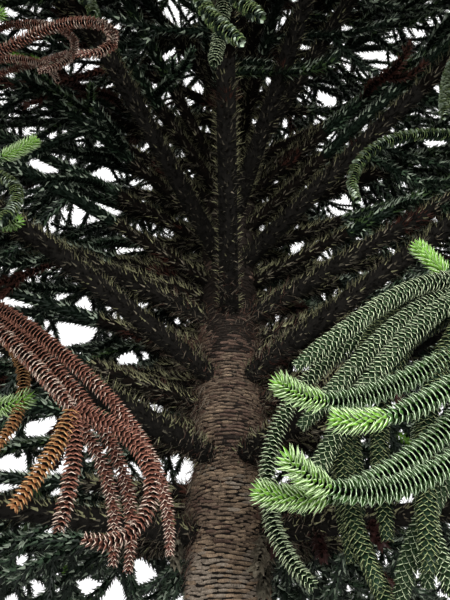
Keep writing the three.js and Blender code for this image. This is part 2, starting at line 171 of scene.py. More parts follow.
# Shorter and finer ropes at the edges of the open front, past the solids' own.
EDGE_ROPES = {
    "2_1": [
        rope(0.00, -10, 0, (-15, -50, -130), 0.50, finish="orange"),
        rope(0.00, -10, 0, (-90, -75, 30), 0.42, finish="lit"),
    ],
    "2_2": [
        rope(0.00, 160, 0, (80, 60), 0.25, finish="lit"),
        rope(0.05, 165, -20, (40, -50, -60, -60), 0.62, finish="shaded"),
        rope(0.05, 155, 0, (40, -50, -90, -90), 0.85, finish="shaded"),
        rope(0.05, 145, 0, (10, -10, -110, -90), 0.95, finish="shaded"),
        rope(0.10, 150, 0, (0, -20, -100, -85), 0.85, finish="shaded"),
        rope(0.10, 160, 0, (-20, -50, -90, -80), 0.80, finish="shaded"),
        rope(0.05, 150, -20, (-20, 10, -130, -110), 1.05, finish="shaded"),
        rope(0.10, 160, -20, (-20, 10, -100, -110), 1.00, finish="shaded"),
        rope(0.05, 170, -30, (-40, -50, -80, -110), 0.80),
        rope(0.05, 148, 0, (0, 0, -60, -142), 1.19, detail="near"),
    ],
    "3_2": [
        rope(0.10, -10, 0, (10, 20, 35), 0.32, finish="lit"),
        rope(0.00, -30, 0, (-70, -60, 10), 0.19, finish="lit"),
        rope(0.10, 0, 0, (5, 20, -110, -150), 0.50, finish="pale"),
        rope(0.25, 0, 0, (75, 80, 30, -170), 1.25, finish="rust"),
        rope(0.20, 0, 0, (95, 85, 10, -70), 0.88, finish="rust"),
        rope(0.15, 0, 0, (115, 95, -20, 45), 0.85, finish="rust"),
        rope(0.30, 0, 0, (55, 60, 40), 0.66, finish="lit"),
    ],
    "4_1": [
        rope(0.15, 180, 0, (-50, -80, -120, -130), 0.50, finish="pale"),
        rope(0.15, 0, 0, (-100, -70, -50), 0.36, finish="pale"),
    ],
    "5_1": [rope(0.10, 180, 0, (-60, -70, -80), 0.42, finish="pale")],
    "5_2": [rope(0.10, 0, 0, (-30, -80), 0.20, finish="pale")],
}

# Short dead shoots on the bare stretch of a bough.
TUFTS = {
    "1_2": [
        rope(0.07, -105, 0, [-40], 0.22, finish="straw"),
        rope(0.07, -100, 0, [-60], 0.24, finish="brown"),
        rope(0.10, -90, 0, [-35], 0.14, finish="maroon"),
        rope(0.09, -110, 0, [-55], 0.14, finish="straw"),
        rope(0.25, -95, 0, [-50], 0.15, finish="maroon"),
        rope(0.43, -95, 0, [-40], 0.15, finish="maroon"),
        rope(0.70, -105, 0, [-35], 0.14, finish="maroon"),
    ],
    "1_1": [rope(0.12, -90, 0, [-75], 0.12, finish="brown")],
}

# Gaps that show the sky: how far right and up of the view's middle, and half their width and height,
# all in hundredths of the depth.
SKY_GAPS = [
    (-40, -3, 2, 4), (-30, -2, 3, 3), (-29, -8, 1, 2), (-19, -11, 1, 1), (-13, -20, 1, 1), (-36, -25, 2, 1),
    (-42, -31, 1, 1), (-34, -41, 1, 1), (-27, -49, 1, 1), (-27, -55, 1, 1), (-16, -52, 1, 1), (-35, 26, 2, 1),
    (-24, 25, 1, 1), (-27, 20, 1, 1), (-22, 18, 2, 1), (-18, 7, 2, 1), (-12, 54, 1, 1), (8, 54, 1, 1),
    (-6, 40, 1, 1), (28, 48, 2, 1), (10, 22, 1, 1), (15, 13, 1, 1), (23, 15, 1, 1), (41, 30, 1, 1),
    (15, -14, 1, 1),
]
GAP_UNITS = 100
GAP_RIM = 0.9
NEAREST_GAP = 0.5

# How far the rule is carried beyond the solids' twigs, and how thick the wood is inside the leaves.
REACH_MARGIN = 0.10
CORE_SHARE = 0.72
SEED = 7

# Steps of a limb, of its root and of the dry stretch beyond a bare bough, and of ropes and twigs.
BOUGH_STEPS = 24
ROOT_STEPS = 5
DRY_STEPS = 4
ROPE_STEPS = 10
TWIG_STEPS = 6

# How each limb is clad: its ropes, the share of it where they start, twigs for each rope, and its bare share.
ROPES_ON_BOUGH = {"count": 22, "first": 0.05, "twigs": 2}
SPRAY_DRESS = {"count": 22, "first": 0.26, "twigs": 2, "bare": 0.32}
FORK_DRESS = {"count": 12, "first": 0.26, "twigs": 1, "bare": 0.25}
ARM_DRESS = {"count": 11, "first": 0.25, "twigs": 1, "bare": 0.20}
FILL_DRESS = {"count": 12, "first": 0.20, "twigs": 1, "bare": 0.22}

# Living greens by the limit of their draw, and the shares of ropes that are dead or have a fresh tip.
GREEN_LIMITS = (("deep", 0.42), ("mid", 0.86), ("pale", 1.0))
DEAD_ROPE_SHARE = 0.045
FRESH_ROPE_SHARE = 0.10

# Ropes along a limb, and the twigs on a rope: lengths as shares, turns and pitches in degrees.
LAST_ROPE = 0.97
ROPE_LENGTHS = (0.8, 1.1)
ROPE_SHORTENING = 0.45
THICKEST_ROPE = 0.019
ROPE_TIP_RADIUS = 0.010
TWIGS_ALONG = (0.3, 0.75)
TWIG_SHARE = 0.42
TWIG_LENGTHS = (0.7, 1.2)
TWIG_TURN = (38, 62)
TWIG_CURL = 20
TWIG_SAG = 20
TWIG_LIFT = 10
TWIG_RADII = (0.014, 0.008)

# Forked sprays: where they fork, how their arms rise and bend, their wood, and their ropes' length as shares.
FORK_AT = 0.2
ARM_RISE = 0.5
ARM_CURL = 12
ARM_WOOD = 0.6
FORK_ROPE_SHARES = (0.5, 1)

# Limbs that fill a whorl: the room that one asks for, its tries and its levels under and above the whorl.
FILL_GAP = 35
FILL_TRIES = (0, 4, -4, 8, -8)
FILL_LEVELS = ((-0.12, -9), (0.13, 9))
FILL_REACH = 0.93
FILL_WOOD = 0.5
FILL_ROPE_SHARES = (0.45, 0.9)
HIGH_FILLS = (0.2, 0.5, 0.8)
LOWEST_FILL_GAP = 25
LOWEST_FILL_LEVELS = ((-0.01, -7), (0.12, 7))
LAST_FILL_DROP = 0.25

# The leading shoot and its two small whorls: share of its height, count, length and pitches.
LEADER_TIP_GAP = 0.03
LEADER_TIP_RADIUS = 0.012
LEADER_WHORLS = ((0.2, 5, 0.78, (25, 20, 0)), (0.6, 4, 0.42, (30, 45, 30)))
LEADER_FIRST = 20
LEADER_TWIST = 150
LEADER_TWIGS = 2

# How finely a stem is clad, by its depth in the view of a standing viewer who looks up.
VIEW_HALF_WIDTH = 0.48
VIEW_HALF_HEIGHT = 0.63
NEAREST_DEPTH = 0.3
NEAR_DEPTH = 1.6
MIDDLE_DEPTH = 3.0


class Stream:
    """The seeded rule: one stream of numbers between 0 and 1."""
    FACTOR = 1664525
    STEP = 1013904223
    STATES = 2 ** 32

    def __init__(self, seed):
        self.state = seed

    def random(self):
        self.state = (self.state * self.FACTOR + self.STEP) % self.STATES
        return self.state / self.STATES

    def between(self, low, high):
        return low + (high - low) * self.random()


class Line:
    """A growing limb: its places, ways onward, level sides and radii."""

    def __init__(self, places, alongs, sides, radii):
        self.places, self.alongs, self.sides, self.radii = places, alongs, sides, radii

    @property
    def steps(self):
        return len(self.places) - 1

    @property
    def length(self):
        return float(np.linalg.norm(np.diff(self.places, axis=0), axis=1).sum())

    def rings(self, kept):
        """The same line with only the rings of a slice or a list."""
        return Line(self.places[kept], self.alongs[kept], self.sides[kept], self.radii[kept])

    def part(self, first, last):
        return self.rings(slice(first, last + 1))

    def thinned(self, stride):
        """The same line with every second, third or later ring, and always its last."""
        return self.rings(sorted({*range(0, self.steps + 1, stride), self.steps}))

    def at(self, shares):
        """Places, ways onward, level sides and radii at shares of the line, as arrays."""
        stations = np.clip(np.atleast_1d(shares), 0, 1) * self.steps
        ring = np.minimum(stations.astype(int), self.steps - 1)
        rest = (stations - ring)[:, None]

        def mix(rows):
            return rows[ring] * (1 - rest) + rows[ring + 1] * rest

        return mix(self.places), unit(mix(self.alongs)), unit(mix(self.sides)), mix(self.radii[:, None])[:, 0]


def unit(rows):
    return rows / np.linalg.norm(rows, axis=-1, keepdims=True)


def lerp(a, b, t):
    return a + (b - a) * t


def direction(heading, pitch):
    h = np.radians(heading)
    p = np.radians(pitch)
    return np.stack([np.cos(h) * np.cos(p), np.sin(h) * np.cos(p), np.sin(p) + 0 * h], axis=-1)


def heading_of(way):
    return math.degrees(math.atan2(way[1], way[0]))


def blend(controls, t):
    """A smooth run from the first of the controls to the last, drawn toward those between."""
    values = [control + 0 * t for control in controls]
    while len(values) > 1:
        values = [lerp(a, b, t) for a, b in zip(values, values[1:])]
    return values[0]


def grow(start, heading, turn, pitches, length, radii, steps):
    """A line of even steps whose heading turns and whose pitch follows its controls."""
    t = np.linspace(0, 1, steps + 1)
    middle = (t[1:] + t[:-1]) / 2
    strides = direction(heading + turn * middle, blend(pitches, middle)) * (length / steps)
    places = np.vstack([start, start + np.cumsum(strides, axis=0)])
    alongs = direction(heading + turn * t, blend(pitches, t))
    return Line(places, alongs, direction(heading + turn * t + 90, 0 * t), np.linspace(*radii, steps + 1))


def hang(stem, row, radii, steps):
    """The line of a rope or shoot of its own on its stem, from its row."""
    start = stem.at(row["at"])[0][0]
    return grow(start, row["heading"], row["turn"], row["pitches"], row["length"], radii, steps)


def trunk_axis(z):
    z = np.asarray(z, float)
    return np.stack([TRUNK_LEAN * (np.maximum(z, 0) / TRUNK_TOP) ** LEAN_POWER, 0 * z, z], axis=-1)


def trunk_radius(z):
    taper = lerp(TRUNK_FOOT_RADIUS, TRUNK_TIP_RADIUS, z / TRUNK_TOP)
    return taper + FLARE * np.exp(-z / FLARE_HEIGHT)


def crown_reach(z):
    share = (z - WIDEST_HEIGHT) / CROWN_SPAN
    return CROWN_REACH * max(0.0, 1 - share * share) ** CROWN_ROUNDNESS


def limb_radii(length):
    """Radii of a limb's wood at its root and its tip, inside its leaves."""
    base = lerp(SHORT_LIMB_WOOD, 1, length / CROWN_REACH) * BOUGH_BASE_RADIUS
    return base * CORE_SHARE, BOUGH_TIP_RADIUS * CORE_SHARE


def bough_line(height, heading, rise, length, wood=1.0):
    """A limb from inside the trunk outwards; a share of wood below 1 gives it that of a shorter limb."""
    start = trunk_axis(height) + direction(heading, 0) * trunk_radius(height) * LIMB_ROOT_SHARE
    pitches = [rise, rise, rise * LIMB_EASING, TIP_PITCH]
    return grow(start, heading, 0, pitches, length, limb_radii(length * wood), BOUGH_STEPS)


def seen_from_eye(places):
    """Places in the view of a standing viewer who looks up: how far right, how far up and how deep."""
    from_eye = places - EYE
    return from_eye[:, 0], from_eye @ direction(-90, 90 - OPEN_PITCH), from_eye @ direction(90, OPEN_PITCH)


def is_in_frame(right, up, depth, half_width, half_height, margin=0.0):
    return (np.abs(right) < depth * half_width + margin) & (np.abs(up) < depth * half_height + margin)


def is_in_open_space(places):
    right, up, depth = seen_from_eye(places)
    framed = is_in_frame(right, up, depth, OPEN_HALF_WIDTH, OPEN_HALF_HEIGHT, OPEN_MARGIN)
    return (depth > 0) & (depth < OPEN_DEPTH) & framed


def is_in_reach(places):
    """Whether every place keeps to the solids' own reach, seen from above, and stays off the ground."""
    low, high = (np.array(corner) for corner in CAD_BOX)
    level = places[:, :2]
    inside = np.all((level > low[:2] - REACH_MARGIN) & (level < high[:2] + REACH_MARGIN))
    return bool(inside and np.all(places[:, 2] > LOWEST_FOLIAGE))


def is_in_gap(places):
    """Whether a limb crosses a gap that shows the sky."""
    right, up, depth = seen_from_eye(places)
    ahead = depth > NEAREST_GAP
    if not ahead.any():
        return False
    x, y, wide, tall = np.array(SKY_GAPS, float).T
    across = (GAP_UNITS * right[ahead] / depth[ahead])[:, None]
    above = (GAP_UNITS * up[ahead] / depth[ahead])[:, None]
    apart = ((across - x) / (wide + GAP_RIM)) ** 2 + ((above - y) / (tall + GAP_RIM)) ** 2
    return bool((apart < 1).any())


def keeps_to_space(line):
    return (is_in_reach(line.places) and not np.any(is_in_open_space(line.places))
            and not is_in_gap(line.places))


def detail_of(line):
    """How finely a stem is clad, by how close it comes to a standing viewer who looks up."""
    right, up, depth = seen_from_eye(line.places)
    seen = (depth > NEAREST_DEPTH) & is_in_frame(right, up, depth, VIEW_HALF_WIDTH, VIEW_HALF_HEIGHT)
    if not seen.any():
        return "back"
    closest = depth[seen].min()
    if closest < NEAR_DEPTH:
        return "near"
    return "middle" if closest < MIDDLE_DEPTH else "far"


class Crown:
    """All that grows on the trunk: the main boughs, and stems with their finish, detail and CAD label."""

    def __init__(self):
        self.stream = Stream(SEED)
        self.boughs = []
        self.stems = []

    def add_stem(self, label, line, finish, detail=None, fresh=False):
        detail = detail or detail_of(line)
        self.stems.append({"label": label, "line": line, "finish": finish, "detail": detail, "fresh": fresh})

    def green(self):
        draw = self.stream.random()
        return next(tone for tone, limit in GREEN_LIMITS if draw < limit)

    def add_rope(self, label, start, heading, turn, pitches, length, root, twigs, finish=None):
        """A side rope, turned, shortened or left out where it would hang in the open space."""
        finish = finish or ("rust" if self.stream.random() < DEAD_ROPE_SHARE else self.green())
        radii = (min(root, THICKEST_ROPE), ROPE_TIP_RADIUS)
        for aside, raised, share in ROPE_TRIES:
            tried = [pitches[0], *(pitch + raised for pitch in pitches[1:])]
            line = grow(start, heading + aside, turn, tried, length * share, radii, ROPE_STEPS)
            if not keeps_to_space(line):
                continue
            self.add_stem(label, line, finish, fresh=self.stream.random() < FRESH_ROPE_SHARE)
            for k in range(twigs):
                self.add_twig(label, line, lerp(*TWIGS_ALONG, (k + 0.5) / twigs), finish)
            return

    def add_twig(self, label, stem, share, finish):
        """A twig to one side of a rope, left out where it would hang in the open space."""
        hand = 1 if self.stream.random() < 0.5 else -1
        place, along, _, _ = stem.at(share)
        pitch = math.degrees(math.asin(max(-1, min(1, along[0][2]))))
        heading = heading_of(along[0]) + hand * self.stream.between(*TWIG_TURN)
        length = stem.length * TWIG_SHARE * self.stream.between(*TWIG_LENGTHS)
        pitches = [pitch, pitch - TWIG_SAG, -TWIG_SAG, TWIG_LIFT]
        line = grow(place[0], heading, -hand * TWIG_CURL, pitches, length, TWIG_RADII, TWIG_STEPS)
        if keeps_to_space(line):
            self.add_stem(label, line, finish)

    def add_ropes(self, label, stem, length, count, first, twigs):
        """Ropes leave a stem by turns left and right, sag, and lift again at their tips."""
        for i in range(count):
            share = lerp(first, LAST_ROPE, (i + 0.5) / count)
            place, along, _, radius = stem.at(share)
            hand = 1 if i % 2 == 0 else -1
            heading = heading_of(along[0]) + hand * self.stream.between(*ROPE_FAN)
            sag = self.stream.between(*ROPE_SAG)
            reach = length * self.stream.between(*ROPE_LENGTHS) * (1 - ROPE_SHORTENING * share)
            turn = -hand * self.stream.between(*ROPE_CURL)
            self.add_rope(label, place[0], heading, turn, [0, sag, sag, ROPE_LIFT], reach, radius[0], twigs)

    def add_hanging_rope(self, label, stem, row, dead):
        """One of the ropes in the open front, with the shorter ones that it forks into."""
        line = hang(stem, row, DEAD_RADII if dead else ROPE_RADII, ROPE_STEPS * 2)
        tone = row.get("finish", "rust" if dead else "ribbed")
        detail = row.get("detail", HANGING_DETAILS.get(tone, "scale"))
        self.add_stem(label, line, tone, detail, fresh=tone == "lit")
        for finger in row.get("fork", []):
            self.add_stem(label, hang(line, finger, DEAD_RADII, ROPE_STEPS), finger["finish"], "dead")

    def add_bough(self, label, whorl, heading):
        """A bough: spiny and bare of green near the trunk, clad further out."""
        line = bough_line(whorl["height"], heading, whorl["rise"], crown_reach(whorl["height"]))
        cut = round(BOUGH_STEPS * BOUGH_SHARE)
        bare, clad = line.part(0, cut), line.part(cut, BOUGH_STEPS)
        bough, foliage = "bough_" + label, "foliage_" + label
        self.boughs.append({"label": bough, "line": bare})
        for tuft in TUFTS.get(label, []):
            self.add_stem(bough, hang(bare, tuft, DEAD_RADII, TWIG_STEPS), tuft["finish"], "tuft")
        self.add_stem(foliage, clad.part(0, DRY_STEPS), "dry", "middle")
        self.add_stem(foliage, clad.part(DRY_STEPS, clad.steps), self.green())
        for row in HANGING_ROPES.get(label, []) + EDGE_ROPES.get(label, []):
            self.add_hanging_rope(foliage, clad, row, label in DEAD_BOUGHS)
        self.add_ropes(foliage, clad, ROPE_LENGTH, **ROPES_ON_BOUGH)

    def add_limb(self, label, line, rope_length, bare, **ropes):
        """A limb: dry over its bare share, green beyond it, with ropes from near its root to its tip."""
        cut = max(1, round(line.steps * bare))
        self.add_stem(label, line.part(0, cut), "dry")
        self.add_stem(label, line.part(cut, line.steps), self.green())
        self.add_ropes(label, line, rope_length, **ropes)

    def add_spray(self, label, whorl, heading):
        """A spray: clad from near the trunk outwards."""
        length = crown_reach(whorl["height"]) * SPRAY_SHARE
        line = bough_line(whorl["height"], heading, whorl["rise"], length)
        self.add_limb("foliage_" + label, line, ROPE_LENGTH, **SPRAY_DRESS)

    def add_forked_spray(self, label, whorl, heading, fan):
        """A spray of the upper crown, with an arm to each side from near its root."""
        length, rise = crown_reach(whorl["height"]), whorl["rise"]
        stem = bough_line(whorl["height"], heading, rise, length)
        rope_length = ROPE_LENGTH * lerp(*FORK_ROPE_SHARES, length / CROWN_REACH)
        self.add_limb("foliage_" + label, stem, rope_length, **FORK_DRESS)
        fork = stem.places[round(BOUGH_STEPS * FORK_AT)]
        pitches = [rise * ARM_RISE, rise, rise * ARM_RISE, TIP_PITCH]
        for hand in (1, -1):
            arm = grow(fork, heading + hand * fan, -hand * ARM_CURL, pitches, length * ARM_SHARE,
                       limb_radii(length * ARM_WOOD), BOUGH_STEPS)
            self.add_limb("foliage_" + label, arm, rope_length, **ARM_DRESS)

    def fill_between(self, label, height, rise, headings):
        """Slim limbs at one height between the named ones, within the crown's reach, clear of the gaps."""
        length = crown_reach(height) * FILL_REACH
        rope_length = ROPE_LENGTH * lerp(*FILL_ROPE_SHARES, length / CROWN_REACH)
        for heading in headings:
            tries = [bough_line(height, heading + aside, rise, length, FILL_WOOD) for aside in FILL_TRIES]
            line = next((line for line in tries if not is_in_gap(line.places)), tries[0])
            if not np.any(is_in_open_space(line.places[ROOT_STEPS:])):
                self.add_limb("foliage_" + label, line, rope_length, **FILL_DRESS)


@functools.lru_cache
def grow_crown():
    crown = Crown()
    for i, whorl in enumerate(LOW_WHORLS):
        for j, heading in enumerate(whorl["boughs"]):
            crown.add_bough(f"{i + 1}_{j + 1}", whorl, heading)
        for j, heading in enumerate(whorl["sprays"]):
            crown.add_spray(f"{i + 1}_{len(whorl['boughs']) + j + 1}", whorl, heading)
        fill_whorl(crown, i, whorl)
    tops = [whorl["height"] for whorl in HIGH_WHORLS[1:]] + [TRUNK_TOP - LAST_FILL_DROP]
    for i, (whorl, top) in enumerate(zip(HIGH_WHORLS, tops)):
        step = 360 / whorl["count"]
        for j in range(whorl["count"]):
            label = f"{len(LOW_WHORLS) + i + 1}_{j + 1}"
            heading = whorl["first"] + j * step
            crown.add_forked_spray(label, whorl, heading, FORK_FAN / whorl["count"])
            headings = [heading + step * share for share in HIGH_FILLS]
            crown.fill_between(label, lerp(whorl["height"], top, 0.5), whorl["rise"], headings)
    grow_leader(crown)
    return crown


def fill_whorl(crown, index, whorl):
    """Slim limbs in the widest gaps of a low whorl, a little under it and a little above it."""
    named = whorl["boughs"] + whorl["sprays"]
    around = sorted(heading % 360 for heading in named)
    for low, high in zip(around, around[1:] + [around[0] + 360]):
        count = int((high - low) // (FILL_GAP if index else LOWEST_FILL_GAP))
        for k in range(count):
            heading = lerp(low, high, (k + 1) / (count + 1))
            nearest = min(range(len(named)), key=lambda j: abs((named[j] - heading + 180) % 360 - 180))
            for level, offset in (FILL_LEVELS if index else LOWEST_FILL_LEVELS):
                crown.fill_between(f"{index + 1}_{nearest + 1}", whorl["height"] + level, whorl["rise"],
                                   [heading + offset])


def grow_leader(crown):
    """The leading shoot on the trunk's tip, with two small whorls of its own."""
    height = TREE_HEIGHT - TRUNK_TOP - LEADER_TIP_GAP
    radii = (TRUNK_TIP_RADIUS, LEADER_TIP_RADIUS)
    line = grow(trunk_axis(TRUNK_TOP), 0, 0, [90, 90], height, radii, ROPE_STEPS)
    crown.add_stem("leader", line, "mid", "far")
    for share, count, reach, pitches in LEADER_WHORLS:
        for i in range(count):
            heading = LEADER_FIRST + share * LEADER_TWIST + i * 360 / count
            crown.add_rope("leader", line.at(share)[0][0], heading, 0, pitches, reach, LEADER_TIP_RADIUS,
                           LEADER_TWIGS, "mid")


# Leaves by how closely a stem is seen, at life size or the size that their count asks for: length, width,
# depth of the rim, leaves in a ring, distance between rings, lean in degrees, curl, looseness, and stations
# along the blade, each as shares of its length and its width.
LEAF_FIELDS = ("length", "width", "rim", "ring", "spacing", "lean", "curl", "loose", "stations")
PLAIN = ((0.0, 1.0),)
LEAVES = {kind: dict(zip(LEAF_FIELDS, values)) for kind, values in {
    "near": (0.0240, 0.0175, 0.0018, 7, 0.0118, 82, 0.30, 0.25, ((0.0, 1.0), (0.55, 0.76))),
    "scale": (0.0235, 0.0170, 0.0012, 7, 0.0092, 64, 0.26, 0.40, ((0.0, 1.0), (0.76, 0.84))),
    "slim": (0.0190, 0.0140, 0.0007, 6, 0.0092, 58, 0.16, 0.40, ((0.0, 1.0), (0.74, 0.92))),
    "dead": (0.0150, 0.0112, 0.0015, 7, 0.0090, 76, 0.30, 0.35, ((0.0, 1.0), (0.55, 0.72))),
    "middle": (0.034, 0.015, 0, 7, 0.0215, 48, 0.10, 1.3, PLAIN),
    "far": (0.036, 0.020, 0, 6, 0.0300, 55, 0.10, 0.6, PLAIN),
    "back": (0.044, 0.034, 0, 5, 0.0530, 52, 0.10, 0.9, PLAIN),
    "dry": (0.042, 0.010, 0, 10, 0.0145, 50, -0.10, 3.0, PLAIN),
    "dry_far": (0.044, 0.013, 0, 8, 0.0230, 52, -0.10, 3.0, PLAIN),
    "dry_back": (0.056, 0.026, 0, 4, 0.0450, 70, 0.10, 1.6, PLAIN),
    "tuft": (0.038, 0.020, 0, 6, 0.0150, 56, 0.30, 2.5, ((0.0, 1.0), (0.5, 0.8))),
    "fresh": (0.0320, 0.0085, 0.0018, 10, 0.0088, 62, 0.30, 0.60, ((0.0, 0.8), (0.5, 1.0))),
}.items()}

# A thick rim's bevel, a keel's height as a share of the blade's width, and the stem's radius past which a
# ring has more leaves, up to so many times as many.
RIM_BEVEL = 0.0005
KEEL = 0.16
SLIM_RADIUS = 0.016
MOST_ROUND = 1.7

# How far leaves stray from even rings at a looseness of 1, and how they close and shrink toward a tip.
RING_STRAY = 0.15
RING_TWIST = 0.07
TURN_STRAY = 0.16
PLACE_STRAY = 0.3
LEAN_STRAY = 9
SIZE_STRAY = 0.16
TIP_FOLD = 26
FOLD_FROM = 0.93
TIP_TAPER = 0.25
TAPER_FROM = 0.9

# Where a leaf's base sits, as a share of its stem's radius.
SEAT_SHARE = 0.8


def add_object(name, data):
    """A new object in the scene's collection."""
    item = bpy.data.objects.new(name, data)
    bpy.context.scene.collection.objects.link(item)
    return item


def mesh_object(name, points, faces, materials=()):
    mesh = bpy.data.meshes.new(name)
    mesh.from_pydata([tuple(p) for p in points], [], [tuple(f) for f in faces])
    mesh.update()
    for material in materials:
        mesh.materials.append(material)
    return add_object(name, mesh)


def leaf_object(name, style, scale):
    """One keeled leaf, its base at the origin and its tip along +Y; thick rims are faces of their own."""
    length, half, rim, curl = style["length"] * scale, style["width"] * scale / 2, style["rim"], style["curl"]
    points, faces, rims = [], [], []
    for y, share in style["stations"]:
        level, outer = -curl * length * y * y, half * share
        edge = [(outer, level - rim), (outer - RIM_BEVEL, level)] if rim else [(outer, level)]
        points += [(-x, y * length, z) for x, z in edge]
        points.append((0, y * length, level + KEEL * half * 2))
        points += [(x, y * length, z) for x, z in reversed(edge)]
    rows, tip = len(style["stations"]), len(points)
    width = tip // rows
    points.append((0, length, -curl * length))
    for r in range(rows):
        for c in range(width - 1):
            a, b = r * width + c, r * width + c + 1
            faces.append((a, b, b + width, a + width) if r + 1 < rows else (a, b, tip))
            rims.append(bool(rim) and c in (0, width - 2))
    item = mesh_object(name, points, faces)
    flag = item.data.attributes.new("rim", "BOOLEAN", "FACE")
    flag.data.foreach_set("value", rims)
    return item


def toward_tip(station, first):
    """0 up to the first share of a stem, and from there evenly up to 1 at its tip."""
    return np.clip((station - first) / (1 - first), 0, 1)


def leaf_points(line, style, rng):
    """Rings of leaves along a line: their places, turns, sizes and how far each looks up, as arrays."""
    length, loose = line.length, style["loose"]
    rings = max(2, int(length / style["spacing"]))
    ring_count = round(style["ring"] * min(MOST_ROUND, max(1, line.radii.mean() / SLIM_RADIUS)))
    station = (np.arange(rings) + rng.uniform(-RING_STRAY, RING_STRAY, rings) * loose + 0.5) / rings
    station = np.repeat(station, ring_count)
    count = len(station)
    order = np.arange(count)
    ring = order // ring_count
    angle = 2 * np.pi * ((order % ring_count) + 0.5 * (ring % 2)) / ring_count
    angle = angle + ring * RING_TWIST + rng.uniform(-TURN_STRAY, TURN_STRAY, count) * loose
    stray = rng.uniform(-PLACE_STRAY, PLACE_STRAY, count) * loose
    station = np.clip(station + stray * style["spacing"] / length, 0, 1)
    places, alongs, sides, radii = line.at(station)
    outward = sides * np.sin(angle)[:, None] + np.cross(sides, alongs) * np.cos(angle)[:, None]
    fold = TIP_FOLD * toward_tip(station, FOLD_FROM)
    lean = np.radians(style["lean"] + rng.uniform(-LEAN_STRAY, LEAN_STRAY, count) * loose - fold)
    blade = outward * np.sin(lean)[:, None] + alongs * np.cos(lean)[:, None]
    width = unit(np.cross(alongs, outward))
    turns = euler_from_axes(width, unit(blade), np.cross(width, blade))
    taper = 1 - TIP_TAPER * toward_tip(station, TAPER_FROM)
    sizes = (1 + rng.uniform(-SIZE_STRAY, SIZE_STRAY, count) * min(loose, 1)) * taper
    return places + outward * (radii * SEAT_SHARE)[:, None], turns, sizes, outward[:, 2]


def euler_from_axes(x, y, z):
    """XYZ Euler turns of the frames whose axes are the rows of x, y and z."""
    pitch = -np.arcsin(np.clip(x[:, 2], -1, 1))
    roll = np.arctan2(y[:, 2], z[:, 2])
    yaw = np.arctan2(x[:, 1], x[:, 0])
    return np.stack([roll, pitch, yaw], axis=-1)


def add_sockets(tree, inputs, outputs):
    """The named inputs and outputs of a node tree, with their kinds."""
    for in_out, sockets in (("INPUT", inputs), ("OUTPUT", outputs)):
        for name, kind in sockets.items():
            tree.interface.new_socket(name=name, in_out=in_out, socket_type="NodeSocket" + kind)


def add_node(tree, kind, values=None, **settings):
    """A node with its settings, and values on its own sockets."""
    node = tree.nodes.new(kind)
    for name, value in settings.items():
        setattr(node, name, value)
    for socket, value in (values or {}).items():
        node.inputs[socket].default_value = value
    return node


def join(tree, *rows):
    """Links: each row says from which node and output, and to which node and input."""
    for source, output, target, socket in rows:
        tree.links.new(source.outputs[output], target.inputs[socket])


def scatter_tree():
    """Geometry Nodes: a shape on every point, turned and sized by it, with its rims in their own finish."""
    if "Scatter" in bpy.data.node_groups:
        return bpy.data.node_groups["Scatter"]
    tree = bpy.data.node_groups.new("Scatter", "GeometryNodeTree")
    add_sockets(tree, {"Points": "Geometry", "Shape": "Object", "Face finish": "Material",
                       "Rim finish": "Material", "Size": "Float"}, {"Shapes": "Geometry"})
    source, sink = add_node(tree, "NodeGroupInput"), add_node(tree, "NodeGroupOutput")
    shape = add_node(tree, "GeometryNodeObjectInfo")
    turn, size, flag = (
        add_node(tree, "GeometryNodeInputNamedAttribute", {"Name": name}, data_type=kind)
        for name, kind in (("turn", "FLOAT_VECTOR"), ("size", "FLOAT"), ("rim", "BOOLEAN"))
    )
    scaled = add_node(tree, "ShaderNodeMath", operation="MULTIPLY")
    rotation = add_node(tree, "FunctionNodeEulerToRotation")
    place = add_node(tree, "GeometryNodeInstanceOnPoints")
    realize = add_node(tree, "GeometryNodeRealizeInstances")
    face = add_node(tree, "GeometryNodeSetMaterial")
    edge = add_node(tree, "GeometryNodeSetMaterial")
    join(
        tree,
        (source, "Shape", shape, "Object"),
        (source, "Points", place, "Points"),
        (shape, "Geometry", place, "Instance"),
        (turn, "Attribute", rotation, "Euler"),
        (rotation, "Rotation", place, "Rotation"),
        (size, "Attribute", scaled, 0),
        (source, "Size", scaled, 1),
        (scaled, "Value", place, "Scale"),
        (place, "Instances", realize, "Geometry"),
        (realize, "Geometry", face, "Geometry"),
        (source, "Face finish", face, "Material"),
        (face, "Geometry", edge, "Geometry"),
        (flag, "Attribute", edge, "Selection"),
        (source, "Rim finish", edge, "Material"),
        (edge, "Geometry", sink, "Shapes"),
    )
    return tree


def socket_id(tree, name):
    inputs = (item for item in tree.interface.items_tree if item.in_out == "INPUT")
    return next(item.identifier for item in inputs if item.name == name)


def floats(rows):
    return np.ascontiguousarray(rows, np.float32).ravel()


def scatter(name, places, turns, sizes, shape, face_finish, rim_finish):
    """A plain mesh of one shape repeated at every place."""
    mesh = bpy.data.meshes.new(name)
    mesh.vertices.add(len(places))
    mesh.vertices.foreach_set("co", floats(places))
    mesh.attributes.new("turn", "FLOAT_VECTOR", "POINT").data.foreach_set("vector", floats(turns))
    mesh.attributes.new("size", "FLOAT", "POINT").data.foreach_set("value", floats(sizes))
    carrier = add_object(name + "_points", mesh)
    tree = scatter_tree()
    modifier = carrier.modifiers.new("Scatter", "NODES")
    modifier.node_group = tree
    inputs = {"Shape": shape, "Face finish": face_finish, "Rim finish": rim_finish, "Size": 1.0}
    for socket, value in inputs.items():
        modifier[socket_id(tree, socket)] = value
    graph = bpy.context.evaluated_depsgraph_get()
    evaluated = carrier.evaluated_get(graph)
    result = bpy.data.meshes.new_from_object(evaluated, preserve_all_data_layers=True, depsgraph=graph)
    result.name = name
    for helper in ("turn", "size", "rim"):
        if helper in result.attributes:
            result.attributes.remove(result.attributes[helper])
    piece = add_object(name, result)
    bpy.data.objects.remove(carrier)
    bpy.data.meshes.remove(mesh)
    return piece


